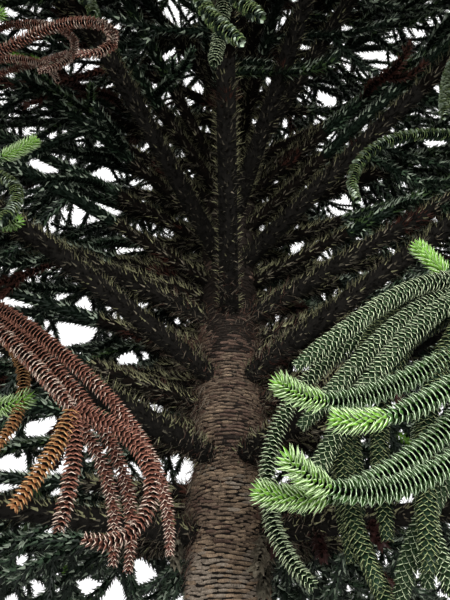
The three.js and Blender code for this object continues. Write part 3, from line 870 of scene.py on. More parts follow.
def ring_quads(rings, sides):
    """Faces between rings of as many points each, that look outwards where the rings rise."""
    step = np.arange(rings - 1)[:, None] * sides
    corner = np.arange(sides)[None, :]
    following = (corner + 1) % sides
    quads = [step + corner, step + following, step + sides + following, step + sides + corner]
    return np.stack(quads, axis=-1).reshape(-1, 4)


def tube_arrays(line, sides):
    """A bent tube's points and faces, closed at both ends."""
    across = np.cross(line.sides, line.alongs)
    angle = np.arange(sides) * 2 * np.pi / sides
    rings = (line.places[:, None, :]
             + line.sides[:, None, :] * (np.cos(angle)[None, :, None] * line.radii[:, None, None])
             + across[:, None, :] * (np.sin(angle)[None, :, None] * line.radii[:, None, None]))
    tip = line.places[-1] + line.alongs[-1] * line.radii[-1]
    foot = line.places[0] - line.alongs[0] * line.radii[0] * 0.5
    points = np.vstack([rings.reshape(-1, 3), tip, foot])
    last = line.steps * sides
    total = len(points)
    caps = [(last + (k + 1) % sides, last + k, total - 2) for k in range(sides)]
    caps += [(k, (k + 1) % sides, total - 1) for k in range(sides)]
    return points, ring_quads(line.steps + 1, sides)[:, ::-1], np.array(caps)


def joined_tubes(name, lines, sides_of, material):
    """Many tubes joined into one mesh by arrays."""
    points, quads, caps, offset = [], [], [], 0
    for line in lines:
        p, q, c = tube_arrays(line, sides_of(line))
        points.append(p)
        quads.append(q + offset)
        caps.append(c + offset)
        offset += len(p)
    points, quads, caps = np.vstack(points), np.vstack(quads), np.vstack(caps)
    mesh = bpy.data.meshes.new(name)
    mesh.vertices.add(len(points))
    mesh.vertices.foreach_set("co", floats(points))
    loops = np.concatenate([quads.ravel(), caps.ravel()]).astype(np.int32)
    sizes = np.concatenate([np.full(len(quads), 4), np.full(len(caps), 3)])
    starts = np.concatenate([[0], np.cumsum(sizes)[:-1]]).astype(np.int32)
    mesh.loops.add(len(loops))
    mesh.loops.foreach_set("vertex_index", loops)
    mesh.polygons.add(len(sizes))
    mesh.polygons.foreach_set("loop_start", starts)
    mesh.update(calc_edges=True)
    mesh.polygons.foreach_set("use_smooth", np.ones(len(sizes), bool))
    mesh.materials.append(material)
    return add_object(name, mesh)


# Finishes: the dark of the grain as a share of its light, the details of its coarse and fine noise, how much
# finer one is than the other, and the range of their mixture that is spread from dark to light.
DARK_SHARE = 0.42
COARSE_DETAIL = 3
FINE_DETAIL = 2
FINE_TO_COARSE = 7
GRAIN_LOW = 0.32
GRAIN_HIGH = 0.68


def grain_group():
    """A shader node group: a light and dark mixture over the surface, with its height."""
    if "Grain" in bpy.data.node_groups:
        return bpy.data.node_groups["Grain"]
    group = bpy.data.node_groups.new("Grain", "ShaderNodeTree")
    add_sockets(group, {"Light": "Color", "Dark": "Color", "Scale": "Float", "Fine share": "Float",
                        "Stretch": "Vector", "Rough low": "Float", "Rough high": "Float"},
                {"Color": "Color", "Roughness": "Float", "Height": "Float"})
    source, sink = add_node(group, "NodeGroupInput"), add_node(group, "NodeGroupOutput")
    where = add_node(group, "ShaderNodeTexCoord")
    drawn = add_node(group, "ShaderNodeVectorMath", operation="MULTIPLY")
    coarse = add_node(group, "ShaderNodeTexNoise", {"Detail": COARSE_DETAIL})
    fine_scale = add_node(group, "ShaderNodeMath", {1: FINE_TO_COARSE}, operation="MULTIPLY")
    fine = add_node(group, "ShaderNodeTexNoise", {"Detail": FINE_DETAIL})
    both = add_node(group, "ShaderNodeMix")
    spread = add_node(group, "ShaderNodeMapRange", {"From Min": GRAIN_LOW, "From Max": GRAIN_HIGH})
    tone = add_node(group, "ShaderNodeMix", data_type="RGBA")
    rough = add_node(group, "ShaderNodeMapRange")
    join(
        group,
        (where, "Object", drawn, 0),
        (source, "Stretch", drawn, 1),
        (drawn, "Vector", coarse, "Vector"),
        (drawn, "Vector", fine, "Vector"),
        (source, "Scale", coarse, "Scale"),
        (source, "Scale", fine_scale, 0),
        (fine_scale, "Value", fine, "Scale"),
        (source, "Fine share", both, "Factor"),
        (coarse, "Fac", both, "A"),
        (fine, "Fac", both, "B"),
        (both, "Result", spread, "Value"),
        (spread, "Result", tone, "Factor"),
        (source, "Dark", tone, "A"),
        (source, "Light", tone, "B"),
        (tone, "Result", sink, "Color"),
        (spread, "Result", rough, "Value"),
        (source, "Rough low", rough, "To Min"),
        (source, "Rough high", rough, "To Max"),
        (rough, "Result", sink, "Roughness"),
        (both, "Result", sink, "Height"),
    )
    return group


def make_finish(name, light, scale, fine=0.5, rough=(0.45, 0.7), bump=0.3, depth=0.001,
                dark_share=DARK_SHARE, shine=0.12, stretch=1.0):
    """A material of the grain group, whose light tone falls to a share of itself in the dark of the grain."""
    material = bpy.data.materials.new(name)
    material.use_nodes = True
    tree = material.node_tree
    shader = tree.nodes["Principled BSDF"]
    shader.inputs["Specular IOR Level"].default_value = shine
    dark = [part * dark_share for part in light]
    values = {"Light": (*light, 1), "Dark": (*dark, 1), "Scale": scale, "Fine share": fine,
              "Stretch": (1, 1, 1 / stretch), "Rough low": rough[0], "Rough high": rough[1]}
    grain = add_node(tree, "ShaderNodeGroup", values, node_tree=grain_group())
    relief = add_node(tree, "ShaderNodeBump", {"Strength": bump, "Distance": depth})
    join(
        tree,
        (grain, "Color", shader, "Base Color"),
        (grain, "Roughness", shader, "Roughness"),
        (grain, "Height", relief, "Height"),
        (relief, "Normal", shader, "Normal"),
    )
    return material


DRY_FINISHES = ("dry", "brown", "straw", "olive")
LEAF_FINISHES = (
    "deep", "mid", "pale", "glint", "ribbed", "shaded", "lit", "rust", "bone", "maroon", "orange", "fresh",
    *DRY_FINISHES,
)
HANGING_SHINE = {"ribbed": 0.10, "shaded": 0.12, "lit": 0.16}
LEAF_SHINE = 0.3
DRY_SHINE = 0.06


def leaf_finishes(colours):
    """Two materials for each finish: the blade's, and that of its pale rim if it has a colour of its own,
    which is partly the leaf edge's own paler tone and partly painted sheen.
    """
    made = {}
    for name in LEAF_FINISHES:
        old = name in DRY_FINISHES
        rough = (0.75, 0.95) if old else (0.32, 0.55)
        shine = DRY_SHINE if old else HANGING_SHINE.get(name, LEAF_SHINE)
        blade = make_finish(f"leaf_{name}", getattr(colours, name), scale=12, fine=0.6, rough=rough,
                            bump=0.15, dark_share=0.28, shine=shine)
        # The rim colour is partly the leaf edge's own paler tone and partly painted sheen along the edge.
        rim, rim_and_sheen_tone = blade, getattr(colours, name + "_rim", None)
        if rim_and_sheen_tone is not None:
            rim = make_finish(f"rim_{name}", rim_and_sheen_tone, scale=14, rough=(0.4, 0.65), bump=0.1,
                              dark_share=0.6)
        made[name] = (blade, rim)
    return made


# The most triangles in one piece.
MAX_TRIANGLES = 190000


def own(piece, nodes):
    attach(piece, "root")
    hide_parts(*sorted(nodes))


def in_parts(count, triangles):
    """Numbered runs of rows, so many that no piece has too many triangles."""
    parts = max(1, math.ceil(triangles / MAX_TRIANGLES))
    return enumerate(np.array_split(np.arange(count), parts), start=1)


# Shares of tones along a stem; "above" and "below" go by how far a leaf looks up: painted glints above,
# painted shade below.
FRESH_LENGTH = 0.12
SHORTEST_FRESH_ROPE = FRESH_LENGTH * 1.3
PAINTED_LIGHT_ABOVE = -0.15
PAINTED_GLINT_SHARE = 0.44
PAINTED_GLINT_BELOW_SHARE = 0.10
PAINTED_SHADE_BELOW_SHARE = 0.65
BONE_SHARES = (-0.5, 0.8)
# A painted highlight in olive on the upper side of old limbs.
PAINTED_OLIVE_ABOVE = -0.1
PAINTED_OLIVE_SHARE = 0.5
PAINTED_OLIVE_BELOW_SHARE = 0.04
BROWN_SHARE = 0.34
STRAW_SHARE = 0.08
RUST_TUFT_SCALE = 4.5
RUST_TUFT_LEVEL = 0.46
RUST_TUFT_SHARE = 0.7


def dry_tones(places, ups, rng):
    """Tones of an old limb's leaves: mostly dark, a painted highlight in olive along its upper side, and rust
    in a few tufts.
    """
    tones = np.full(len(places), "dry", dtype=object)
    draw = rng.random(len(places))
    tones[draw < BROWN_SHARE] = "brown"
    tones[draw < STRAW_SHARE] = "straw"
    # Painted highlight: olive leaves dealt mostly to the upper side of the limb, where the sky lights it.
    olive = rng.random(len(places)) < np.where(ups > PAINTED_OLIVE_ABOVE, PAINTED_OLIVE_SHARE, PAINTED_OLIVE_BELOW_SHARE)
    tones[olive] = "olive"
    tuft = np.array([noise.noise(Vector(place) * RUST_TUFT_SCALE) > RUST_TUFT_LEVEL for place in places])
    tones[tuft & (rng.random(len(places)) < RUST_TUFT_SHARE)] = "rust"
    return tones


def leaf_tones(kind, tone, places, ups, rng):
    """The tone of every leaf on a stem of one tone, with painted shade on the leaves that look down and
    painted glints on those that look up.
    """
    if tone == "dry":
        return dry_tones(places, ups, rng)
    tones = np.full(len(places), tone, dtype=object)
    if kind == "dead" and tone == "rust":
        tones[rng.random(len(places)) < np.linspace(*BONE_SHARES, len(places))] = "bone"
    # Ropes out of the camera's view never take the darkest green, which also serves as painted shade: the
    # crown's outside is painted lighter than its inside.
    if kind == "back" and tone == "deep":
        tones[:] = "mid"
    if tone in ("deep", "mid", "pale"):
        # Painted shade: most leaves that look down take the darkest green, and on the outer ropes the middle
        # green.
        shaded = (ups < PAINTED_LIGHT_ABOVE) & (rng.random(len(places)) < PAINTED_SHADE_BELOW_SHARE)
        tones[shaded] = "mid" if kind == "back" else "deep"
        # Painted glints: a light green dealt mostly to the leaves that look up or sideways, for the sky's
        # light on them.
        share = np.where(ups > PAINTED_LIGHT_ABOVE, PAINTED_GLINT_SHARE, PAINTED_GLINT_BELOW_SHARE)
        tones[rng.random(len(places)) < share] = "glint"
    return tones


def deal_leaves(crown):
    """All leaves as batches of rows, by their kind and their finish, with the CAD nodes they stand for."""
    rng = np.random.default_rng(SEED)
    batches = {}

    def deal(kind, tone, line, label):
        places, turns, sizes, ups = leaf_points(line, LEAVES[kind], rng)
        tones = leaf_tones(kind, tone, places, ups, rng)
        for name in np.unique(tones.astype(str)):
            chosen = tones == name
            batch = batches.setdefault((kind, str(name)), {"rows": [], "labels": set()})
            batch["rows"].append((places[chosen], turns[chosen], sizes[chosen]))
            batch["labels"].add(label)

    for stem in crown.stems:
        line, detail, tone, label = stem["line"], stem["detail"], stem["finish"], stem["label"]
        if tone == "dry":
            deal({"back": "dry_back", "far": "dry_far"}.get(detail, "dry"), tone, line, label)
        elif stem["fresh"] and detail in ("near", "middle") and line.length > SHORTEST_FRESH_ROPE:
            split = line.steps - max(1, round(line.steps * FRESH_LENGTH / line.length))
            deal(detail, tone, line.part(0, split), label)
            deal("fresh" if detail == "near" else detail, "fresh", line.part(split, line.steps), label)
        else:
            deal(detail, tone, line, label)
    for bough in crown.boughs:
        deal("dry", "dry", bough["line"], bough["label"])
    return batches


def make_leaves(crown, sizes, colours):
    """Every clad stem's leaves, in pieces by kind and finish."""
    finishes = leaf_finishes(colours)
    shapes = {
        kind: leaf_object(f"leaf_shape_{kind}", style, sizes.leaf_scale) for kind, style in LEAVES.items()
    }
    for (kind, tone), batch in sorted(deal_leaves(crown).items()):
        triangles = sum(len(p.vertices) - 2 for p in shapes[kind].data.polygons)
        rows = [np.concatenate(row) for row in zip(*batch["rows"])]
        for k, index in in_parts(len(rows[0]), len(rows[0]) * triangles):
            chosen = (row[index] for row in rows)
            piece = scatter(f"leaves_{kind}_{tone}_{k}", *chosen, shapes[kind], *finishes[tone])
            own(piece, batch["labels"])
    for shape in shapes.values():
        bpy.data.objects.remove(shape)


# The tubes of wood: which rings they keep, by how closely a stem is seen, and how many sides they have.
TWIG_STRIDES = {"near": 1, "scale": 1, "slim": 1, "dead": 1, "tuft": 1, "back": 3}
USUAL_STRIDE = 2
THICK_TWIG = 0.025
THICK_SIDES = 6
THIN_SIDES = 3
BOUGH_SIDES = 10


def twig_sides(line):
    return THICK_SIDES if line.radii[0] > THICK_TWIG else THIN_SIDES


def make_twigs(crown, colours):
    """The twigs inside the leaves, near black as painted shade between the leaves."""
    for name, tone, kinds in (
        ("twigs_green", colours.green_twig, ("deep", "mid", "pale", "lit", "ribbed", "shaded")),
        ("twigs_brown", colours.brown_twig, ("rust", "maroon", "orange", "dry", "straw", "brown", "olive")),
    ):
        material = make_finish(name, tone, scale=45, fine=0.7, rough=(0.8, 0.97), bump=0.9, depth=0.010,
                               dark_share=0.2, shine=0.03)
        stems = [stem for stem in crown.stems if stem["finish"] in kinds]
        lines = [stem["line"].thinned(TWIG_STRIDES.get(stem["detail"], USUAL_STRIDE)) for stem in stems]
        triangles = sum((line.steps + 1) * 2 * twig_sides(line) for line in lines)
        for k, index in in_parts(len(lines), triangles):
            piece = joined_tubes(f"{name}_{k}", [lines[i] for i in index], twig_sides, material)
            own(piece, {stems[i]["label"] for i in index})


def make_boughs(crown, colours):
    """The bare wood of the main boughs, under their dry leaves, near black: its own dark tone and painted
    shade between the leaves.
    """
    wood = make_finish("bough_bark", colours.bough, scale=60, rough=(0.8, 0.95), bump=1.0, depth=0.02,
                       dark_share=0.15)
    lines = [bough["line"] for bough in crown.boughs]
    piece = joined_tubes("boughs_bark", lines, lambda line: BOUGH_SIDES, wood)
    own(piece, {bough["label"] for bough in crown.boughs})


# The trunk: swollen between whorls, with rows of leaf scars.
WHORL_HEIGHTS = [whorl["height"] for whorl in LOW_WHORLS + HIGH_WHORLS]
SWELL_STOPS = [0.3, 0.62, 1.15] + WHORL_HEIGHTS + [TRUNK_TOP]
SWELL_POWER = math.log(0.5) / math.log(SWELL_SHARE)
TRUNK_COLUMNS = 64
FINE_TOP = 3.0
FINE_STEP = 0.012
COARSE_STEP = 0.045
LAST_STEP = 0.02
RELIEF = 0.004
RELIEF_SCALES = (22, 6)

# The scars: rows that rise at the front, with larger scars low down and in the crown.
FIRST_ROW = 0.05
SCAR_SCALE_HEIGHTS = (1.2, 1.7, 3.0, 3.3)
SCAR_SCALES = (1.35, 1.0, 1.0, 3.0)
ROW_SCALES = (0.92, 1.08)
SCAR_SIZES = (0.74, 1.18)
FEWEST_SCARS = 8
ARCH = 0.024
ARCH_START = 0.2
WAVE_SHARE = 0.2
WAVES = 5
WAVE_CLIMB = 11
SCAR_TURN_STRAY = 0.26
SCAR_LEVEL_STRAY = 0.0018
SCAR_ROLL_STRAY = 0.08
SCAR_TIP_STRAY = 0.25
SCAR_SINK = 0.002
SKIN_STEP = 0.01

# One scar: half its width and height as shares, a lens with pointed ends whose top is smaller than its foot.
SCAR_HALF_WIDTH = 0.80
SCAR_HALF_HEIGHT = 0.43
SCAR_SIDES = 8
SCAR_EDGE_STRAY = 0.14
SCAR_POWER = 0.90
SCAR_TOP = (0.90, 0.80)
SCAR_EDGE_DEPTH = 0.0035
SCAR_LIFT = 0.0012
SCAR_LIP = 0.0038

# Tones of the scars by a score of patches and height: each tone's name and the score where it starts.
SCAR_TONES = (("dark", -9), ("red", -0.42), ("brown", -0.24), ("tan", 0.04), ("grey", 0.30))
HIGHEST_SCORE = 9
TONE_HEIGHTS = (1.8, 2.35, 2.65, 3.0)
TONE_SHIFTS = (0.24, 0.02, -0.20, -0.80)
TONE_STRAY = 0.22
PATCH_SCALE = 5.5
PATCH_CONTRAST = 0.7


def swell(z):
    """How far the trunk bulges between two whorls."""
    z = np.asarray(z, float)
    out = np.zeros_like(z)
    for low, high in zip(SWELL_STOPS, SWELL_STOPS[1:]):
        t = np.clip((z - low) / (high - low), 0, 1)
        lift = np.sin(np.pi * t ** SWELL_POWER)
        inside = (z >= low) & (z < high)
        out = np.where(inside, lift * TRUNK_SWELL * (1 - z / TRUNK_TOP), out)
    return out


def outward_at(turn):
    return np.stack([np.cos(turn), np.sin(turn), 0 * turn], axis=-1)


def trunk_surface(z, turn):
    """Points on the trunk's skin at heights and turns."""
    lobe = LOBE_DEPTH * np.cos(FLARE_LOBES * turn) * np.exp(-z / FLARE_HEIGHT)
    radius = (trunk_radius(z) + swell(z)) * (1 + lobe)
    return trunk_axis(z) + outward_at(turn) * radius[..., None]


def make_trunk(colours):
    """The trunk's wood, uneven between its scars, near black as painted shade in the crevices between them.
    """
    low = np.arange(0, FINE_TOP, FINE_STEP)
    high = np.append(np.arange(FINE_TOP, TRUNK_TOP - LAST_STEP, COARSE_STEP), TRUNK_TOP)
    turns = np.arange(TRUNK_COLUMNS) * 2 * np.pi / TRUNK_COLUMNS
    z, turn = np.meshgrid(np.concatenate([low, high]), turns, indexing="ij")
    skin = trunk_surface(z, turn).reshape(-1, 3)
    relief = np.array([sum(noise.noise(Vector(p) * scale) for scale in RELIEF_SCALES) for p in skin])
    skin = skin + unit(skin - trunk_axis(z).reshape(-1, 3)) * (relief[:, None] - 1) * RELIEF
    skin[:, 2] = z.ravel()
    rings = len(z)
    foot = range(TRUNK_COLUMNS)[::-1]
    top = range((rings - 1) * TRUNK_COLUMNS, rings * TRUNK_COLUMNS)
    bark = make_finish("trunk_bark", colours.trunk_gap, scale=26, rough=(0.75, 0.95), bump=0.8,
                       depth=0.004, dark_share=0.3)
    piece = mesh_object("trunk_bark", skin, [*ring_quads(rings, TRUNK_COLUMNS), foot, top], [bark])
    piece.data.polygons.foreach_set("use_smooth", np.ones(len(piece.data.polygons), bool))
    own(piece, ["trunk"])


def scar_shape(sizes, rng):
    """One leaf scar: a low lens with pointed ends, uneven, its lower lip standing out."""
    angle = np.arange(SCAR_SIDES) * 2 * np.pi / SCAR_SIDES
    stray = 1 + rng.uniform(-SCAR_EDGE_STRAY, SCAR_EDGE_STRAY, SCAR_SIDES)

    def lens(wave, half):
        return np.sign(wave) * np.abs(wave) ** SCAR_POWER * half * stray

    x = lens(np.cos(angle), sizes.scar_width * SCAR_HALF_WIDTH)
    y = lens(np.sin(angle), sizes.scar_row * SCAR_HALF_HEIGHT)
    lip = SCAR_LIP * np.clip(-np.sin(angle), 0, 1) + rng.uniform(0, SCAR_LIFT, SCAR_SIDES)
    outer = np.stack([x, y, np.full(SCAR_SIDES, -SCAR_EDGE_DEPTH)], axis=-1)
    inner = np.stack([x * SCAR_TOP[0], y * SCAR_TOP[1], SCAR_LIFT + lip], axis=-1)
    following = [(k + 1) % SCAR_SIDES for k in range(SCAR_SIDES)]
    faces = [(k, after, SCAR_SIDES + after, SCAR_SIDES + k) for k, after in enumerate(following)]
    fan = [(SCAR_SIDES, SCAR_SIDES + k, SCAR_SIDES + k + 1) for k in range(1, SCAR_SIDES - 1)]
    return mesh_object("scar_shape", [*outer, *inner], faces + fan)


def scar_rows(sizes, rng):
    """Places, turns and sizes of the scars, in rows round the trunk that wander, half a scar apart."""

    def stray(reach, count):
        return rng.uniform(-reach, reach, count)

    places, turns, scales = [], [], []
    z, row = FIRST_ROW, 0
    while z < TRUNK_TOP - FIRST_ROW:
        size = float(np.interp(z, SCAR_SCALE_HEIGHTS, SCAR_SCALES)) * rng.uniform(*ROW_SCALES)
        radius = float(trunk_radius(z) + swell(z))
        count = max(FEWEST_SCARS, round(2 * np.pi * radius / (sizes.scar_width * size)))
        turn = (np.arange(count) + 0.5 * (row % 2) + stray(SCAR_TURN_STRAY, count)) * 2 * np.pi / count
        arch = ARCH * min(1, z / FLARE_HEIGHT - ARCH_START)
        wave = np.cos(2 * turn + math.pi) + WAVE_SHARE * np.sin(turn * WAVES - z * WAVE_CLIMB)
        level = z + arch * wave + stray(SCAR_LEVEL_STRAY, count)
        skin = trunk_surface(level, turn)
        up = unit(trunk_surface(level + SKIN_STEP, turn) - skin)
        outward = outward_at(turn)
        x = unit(np.cross(up, outward))
        x = unit(x + up * stray(SCAR_ROLL_STRAY, count)[:, None])
        y = unit(up + outward * stray(SCAR_TIP_STRAY, count)[:, None])
        out = unit(np.cross(x, y))
        places.append(skin - out * SCAR_SINK)
        turns.append(euler_from_axes(x, np.cross(out, x), out))
        scales.append(size * rng.uniform(*SCAR_SIZES, count))
        z += sizes.scar_row * size
        row += 1
    return np.vstack(places), np.vstack(turns), np.concatenate(scales)


def add_to_trunk(name, rows, chosen, shape, material):
    """One piece of the trunk: the shape at the chosen rows of places, turns and sizes."""
    piece = scatter(name, *(row[chosen] for row in rows), shape, material, material)
    own(piece, ["trunk"])


def make_scars(sizes, colours):
    """The leaf scars on the trunk, in patches of tan, brown, red and grey, and dark up in the crown."""
    rng = np.random.default_rng(SEED + 1)
    rows = scar_rows(sizes, rng)
    places = rows[0]
    patch = np.array([noise.noise(Vector(place) * PATCH_SCALE) for place in places])
    height = np.interp(places[:, 2], TONE_HEIGHTS, TONE_SHIFTS)
    score = patch * PATCH_CONTRAST + height + rng.uniform(-TONE_STRAY, TONE_STRAY, len(places))
    tops = [low for _, low in SCAR_TONES[1:]] + [HIGHEST_SCORE]
    for (name, low), high in zip(SCAR_TONES, tops):
        shape = scar_shape(sizes, rng)
        material = make_finish(f"scar_{name}", getattr(colours, name + "_scar"), scale=40, fine=0.62,
                               rough=(0.7, 0.95), bump=1.0, depth=0.003, dark_share=0.20, stretch=2.2)
        add_to_trunk(f"trunk_scars_{name}", rows, (score >= low) & (score < high), shape, material)
        bpy.data.objects.remove(shape)


# Dried fibres on the trunk round the roots of the limbs, and on the first stretch of each limb.
FIBRE_LENGTH = 0.055
FIBRE_WIDTH = 0.0021
FIBRE_BEND = 0.55
FIBRE_RISE = 0.008
FIBRE_DROOP = 0.004
FIBRE_SIZES = (0.45, 1.3)
FIBRE_ASIDE = 0.8
FIBRE_SPREAD = 0.55
FIBRE_DROP = -0.02
FIBRE_LEVELS = 0.07
FIBRE_WAYS = (-1.2, 0.4)
FIBRE_OUTWARD = 0.45
FIBRE_LIMBS_WITHIN = 0.3
ROOT_FIBRES = 230
ROOT_FIBRES_REACH = 0.30
ROOT_FIBRES_CROWDING = 1.3
ROOT_FIBRES_OUTWARD = 0.40
ROOT_FIBRES_ALONG = 0.55

# Any way that no fibre takes, so that each fibre's face can be turned by it.
OFF_WAY = (0.31, 0.27, 0.91)


def fibre_shape():
    """A dried, thin leaf that bends over."""
    half, bend = FIBRE_WIDTH / 2, FIBRE_LENGTH * FIBRE_BEND
    points = [(-half, 0, 0), (half, 0, 0), (-half, bend, FIBRE_RISE), (half, bend, FIBRE_RISE),
              (0, FIBRE_LENGTH, -FIBRE_DROOP)]
    return mesh_object("fibre_shape", points, [(0, 1, 3, 2), (2, 3, 4)])


def fibres_round(line, count, rng):
    """Places and ways of the fibres round the root of one limb."""
    start, out = line.places[0], line.alongs[0]
    turn = math.atan2(out[1], out[0]) + rng.normal(0, FIBRE_SPREAD, count)
    level = start[2] + rng.normal(FIBRE_DROP, FIBRE_LEVELS, count)
    skin = trunk_surface(level, turn)
    rise = rng.uniform(*FIBRE_WAYS, (count, 1)) * np.array([0, 0, 1.0])
    aside = rng.normal(0, FIBRE_ASIDE, (count, 1)) * outward_at(turn + math.pi / 2)
    return skin, unit(outward_at(turn) * FIBRE_OUTWARD + aside + rise)


def fibres_on_root(line, count, rng):
    """Places and ways of the fibres on the first stretch of one limb."""
    shares = rng.uniform(0, 1, count) ** ROOT_FIBRES_CROWDING * ROOT_FIBRES_REACH / line.length
    centre, along, side, radius = line.at(shares)
    turn = rng.uniform(0, 2 * np.pi, (count, 1))
    outward = side * np.cos(turn) + np.cross(along, side) * np.sin(turn)
    aside = rng.normal(0, FIBRE_ASIDE, (count, 1)) * np.cross(along, outward)
    ways = unit(outward * ROOT_FIBRES_OUTWARD + aside + along * ROOT_FIBRES_ALONG)
    return centre + outward * radius[:, None], ways


def starts_on_trunk(line):
    start = line.places[0]
    return start[2] < FINE_TOP and np.hypot(start[0], start[1]) < FIBRE_LIMBS_WITHIN


def make_fibres(crown, sizes, colours):
    """Dried leaves that stay on the trunk round the root of every limb, and on the root itself."""
    rng = np.random.default_rng(SEED + 2)
    limbs = [bough["line"] for bough in crown.boughs]
    limbs += [stem["line"] for stem in crown.stems if stem["finish"] == "dry"]
    limbs = [line for line in limbs if starts_on_trunk(line)]
    found = [fibres_round(line, sizes.fibres_on_limb, rng) for line in limbs]
    found += [fibres_on_root(line, ROOT_FIBRES, rng) for line in limbs]
    places, ways = (np.vstack(row) for row in zip(*found))
    x = unit(np.cross(ways, OFF_WAY))
    rows = (places, euler_from_axes(x, ways, np.cross(x, ways)), rng.uniform(*FIBRE_SIZES, len(places)))
    shape = fibre_shape()
    tones = {"red": colours.red_fibre, "straw": colours.straw_fibre, "brown": colours.bough}
    dealt = rng.integers(0, len(tones), len(places))
    for index, (name, tone) in enumerate(tones.items()):
        material = make_finish(f"fibre_{name}", tone, scale=30)
        add_to_trunk(f"trunk_fibres_{name}", rows, dealt == index, shape, material)
    bpy.data.objects.remove(shape)


# The stage.
FLOOR_HALF = 30
FLOOR_DROP = 0.002
FLOOR_ROUGHNESS = 0.9
HORIZON_SHARE = 0.15
LAMP_SIZE = 1.6
LAMP_SPREAD = math.radians(105)
KEY_PLACE, KEY_TARGET = (0.9, -3.3, 2.3), (0.2, 0.0, 2.3)
FILL_PLACE, FILL_TARGET = (-1.6, -3.2, 1.9), (-0.3, 0.0, 2.2)
SENSOR = 36
CLIP_START = 0.02


def make_stage(stage):
    """A pale floor, a white sky, two soft lamps and the camera at a standing viewer's eye."""
    add_floor(stage)
    add_sky(stage)
    add_lamp("key", KEY_PLACE, KEY_TARGET, stage.key_power)
    add_lamp("fill", FILL_PLACE, FILL_TARGET, stage.fill_power)
    camera = bpy.data.cameras.new("camera")
    camera.sensor_width = SENSOR
    camera.lens = camera.sensor_width / 2 / math.tan(stage.field_of_view / 2)
    camera.clip_start = CLIP_START
    eye = add_object("camera", camera)
    eye.location = EYE
    eye.rotation_euler = (math.radians(90 + OPEN_PITCH), 0, 0)
    bpy.context.scene.camera = eye
    bpy.context.scene.view_settings.view_transform = "Standard"


def add_floor(stage):
    """A pale floor just under the ground's level."""
    pale = bpy.data.materials.new("stage_floor")
    pale.use_nodes = True
    shader = pale.node_tree.nodes["Principled BSDF"]
    shader.inputs["Base Color"].default_value = (*stage.floor, 1)
    shader.inputs["Roughness"].default_value = FLOOR_ROUGHNESS
    corners = [(-FLOOR_HALF, -FLOOR_HALF), (FLOOR_HALF, -FLOOR_HALF), (FLOOR_HALF, FLOOR_HALF),
               (-FLOOR_HALF, FLOOR_HALF)]
    floor = mesh_object("stage_floor", [(x, y, -FLOOR_DROP) for x, y in corners], [(0, 1, 2, 3)], [pale])


def add_sky(stage):
    """A white sky, dimmer toward the horizon, with a brightness of its own where the camera sees it."""
    world = bpy.data.worlds.new("studio")
    world.use_nodes = True
    tree = world.node_tree
    background = tree.nodes["Background"]
    background.inputs["Color"].default_value = (1.0, 1.0, 1.0, 1)
    ray = add_node(tree, "ShaderNodeLightPath")
    strength = add_node(tree, "ShaderNodeMapRange", {"To Max": stage.sky_seen})
    way = add_node(tree, "ShaderNodeTexCoord")
    apart = add_node(tree, "ShaderNodeSeparateXYZ")
    height = add_node(tree, "ShaderNodeMapRange", {"To Min": stage.sky_light * HORIZON_SHARE,
                                                   "To Max": stage.sky_light})
    join(
        tree,
        (ray, "Is Camera Ray", strength, "Value"),
        (way, "Generated", apart, "Vector"),
        (apart, "Z", height, "Value"),
        (height, "Result", strength, "To Min"),
        (strength, "Result", background, "Strength"),
    )
    bpy.context.scene.world = world


def add_lamp(name, place, target, power):
    """A soft square lamp that looks at its target."""
    lamp = bpy.data.lights.new(name, "AREA")
    lamp.energy = power
    lamp.size = LAMP_SIZE
    lamp.spread = LAMP_SPREAD
    item = add_object(name, lamp)
    item.location = place
    item.rotation_euler = (Vector(target) - Vector(place)).to_track_quat("-Z", "Y").to_euler()


# The add-on.
def colour(name, description, value):
    return bpy.props.FloatVectorProperty(
        name=name, description=description, default=value, subtype="COLOR", min=0, max=1)


class TreeSizes(bpy.types.PropertyGroup):
    """Sizes and counts of the leaves and the bark."""
    leaf_scale: bpy.props.FloatProperty(
        name="Leaf scale", description="Size of every leaf against its standard size", default=1.0, min=0.3,
        max=3.0)
    scar_width: bpy.props.FloatProperty(
        name="Scar width", description="Width of a leaf scar on the trunk", default=0.030, min=0.01,
        unit="LENGTH")
    scar_row: bpy.props.FloatProperty(
        name="Scar row", description="Height from one row of scars to the next", default=0.0155, min=0.005,
        unit="LENGTH")
    fibres_on_limb: bpy.props.IntProperty(
        name="Fibres", description="Dried fibres round the root of each limb", default=150, min=1)


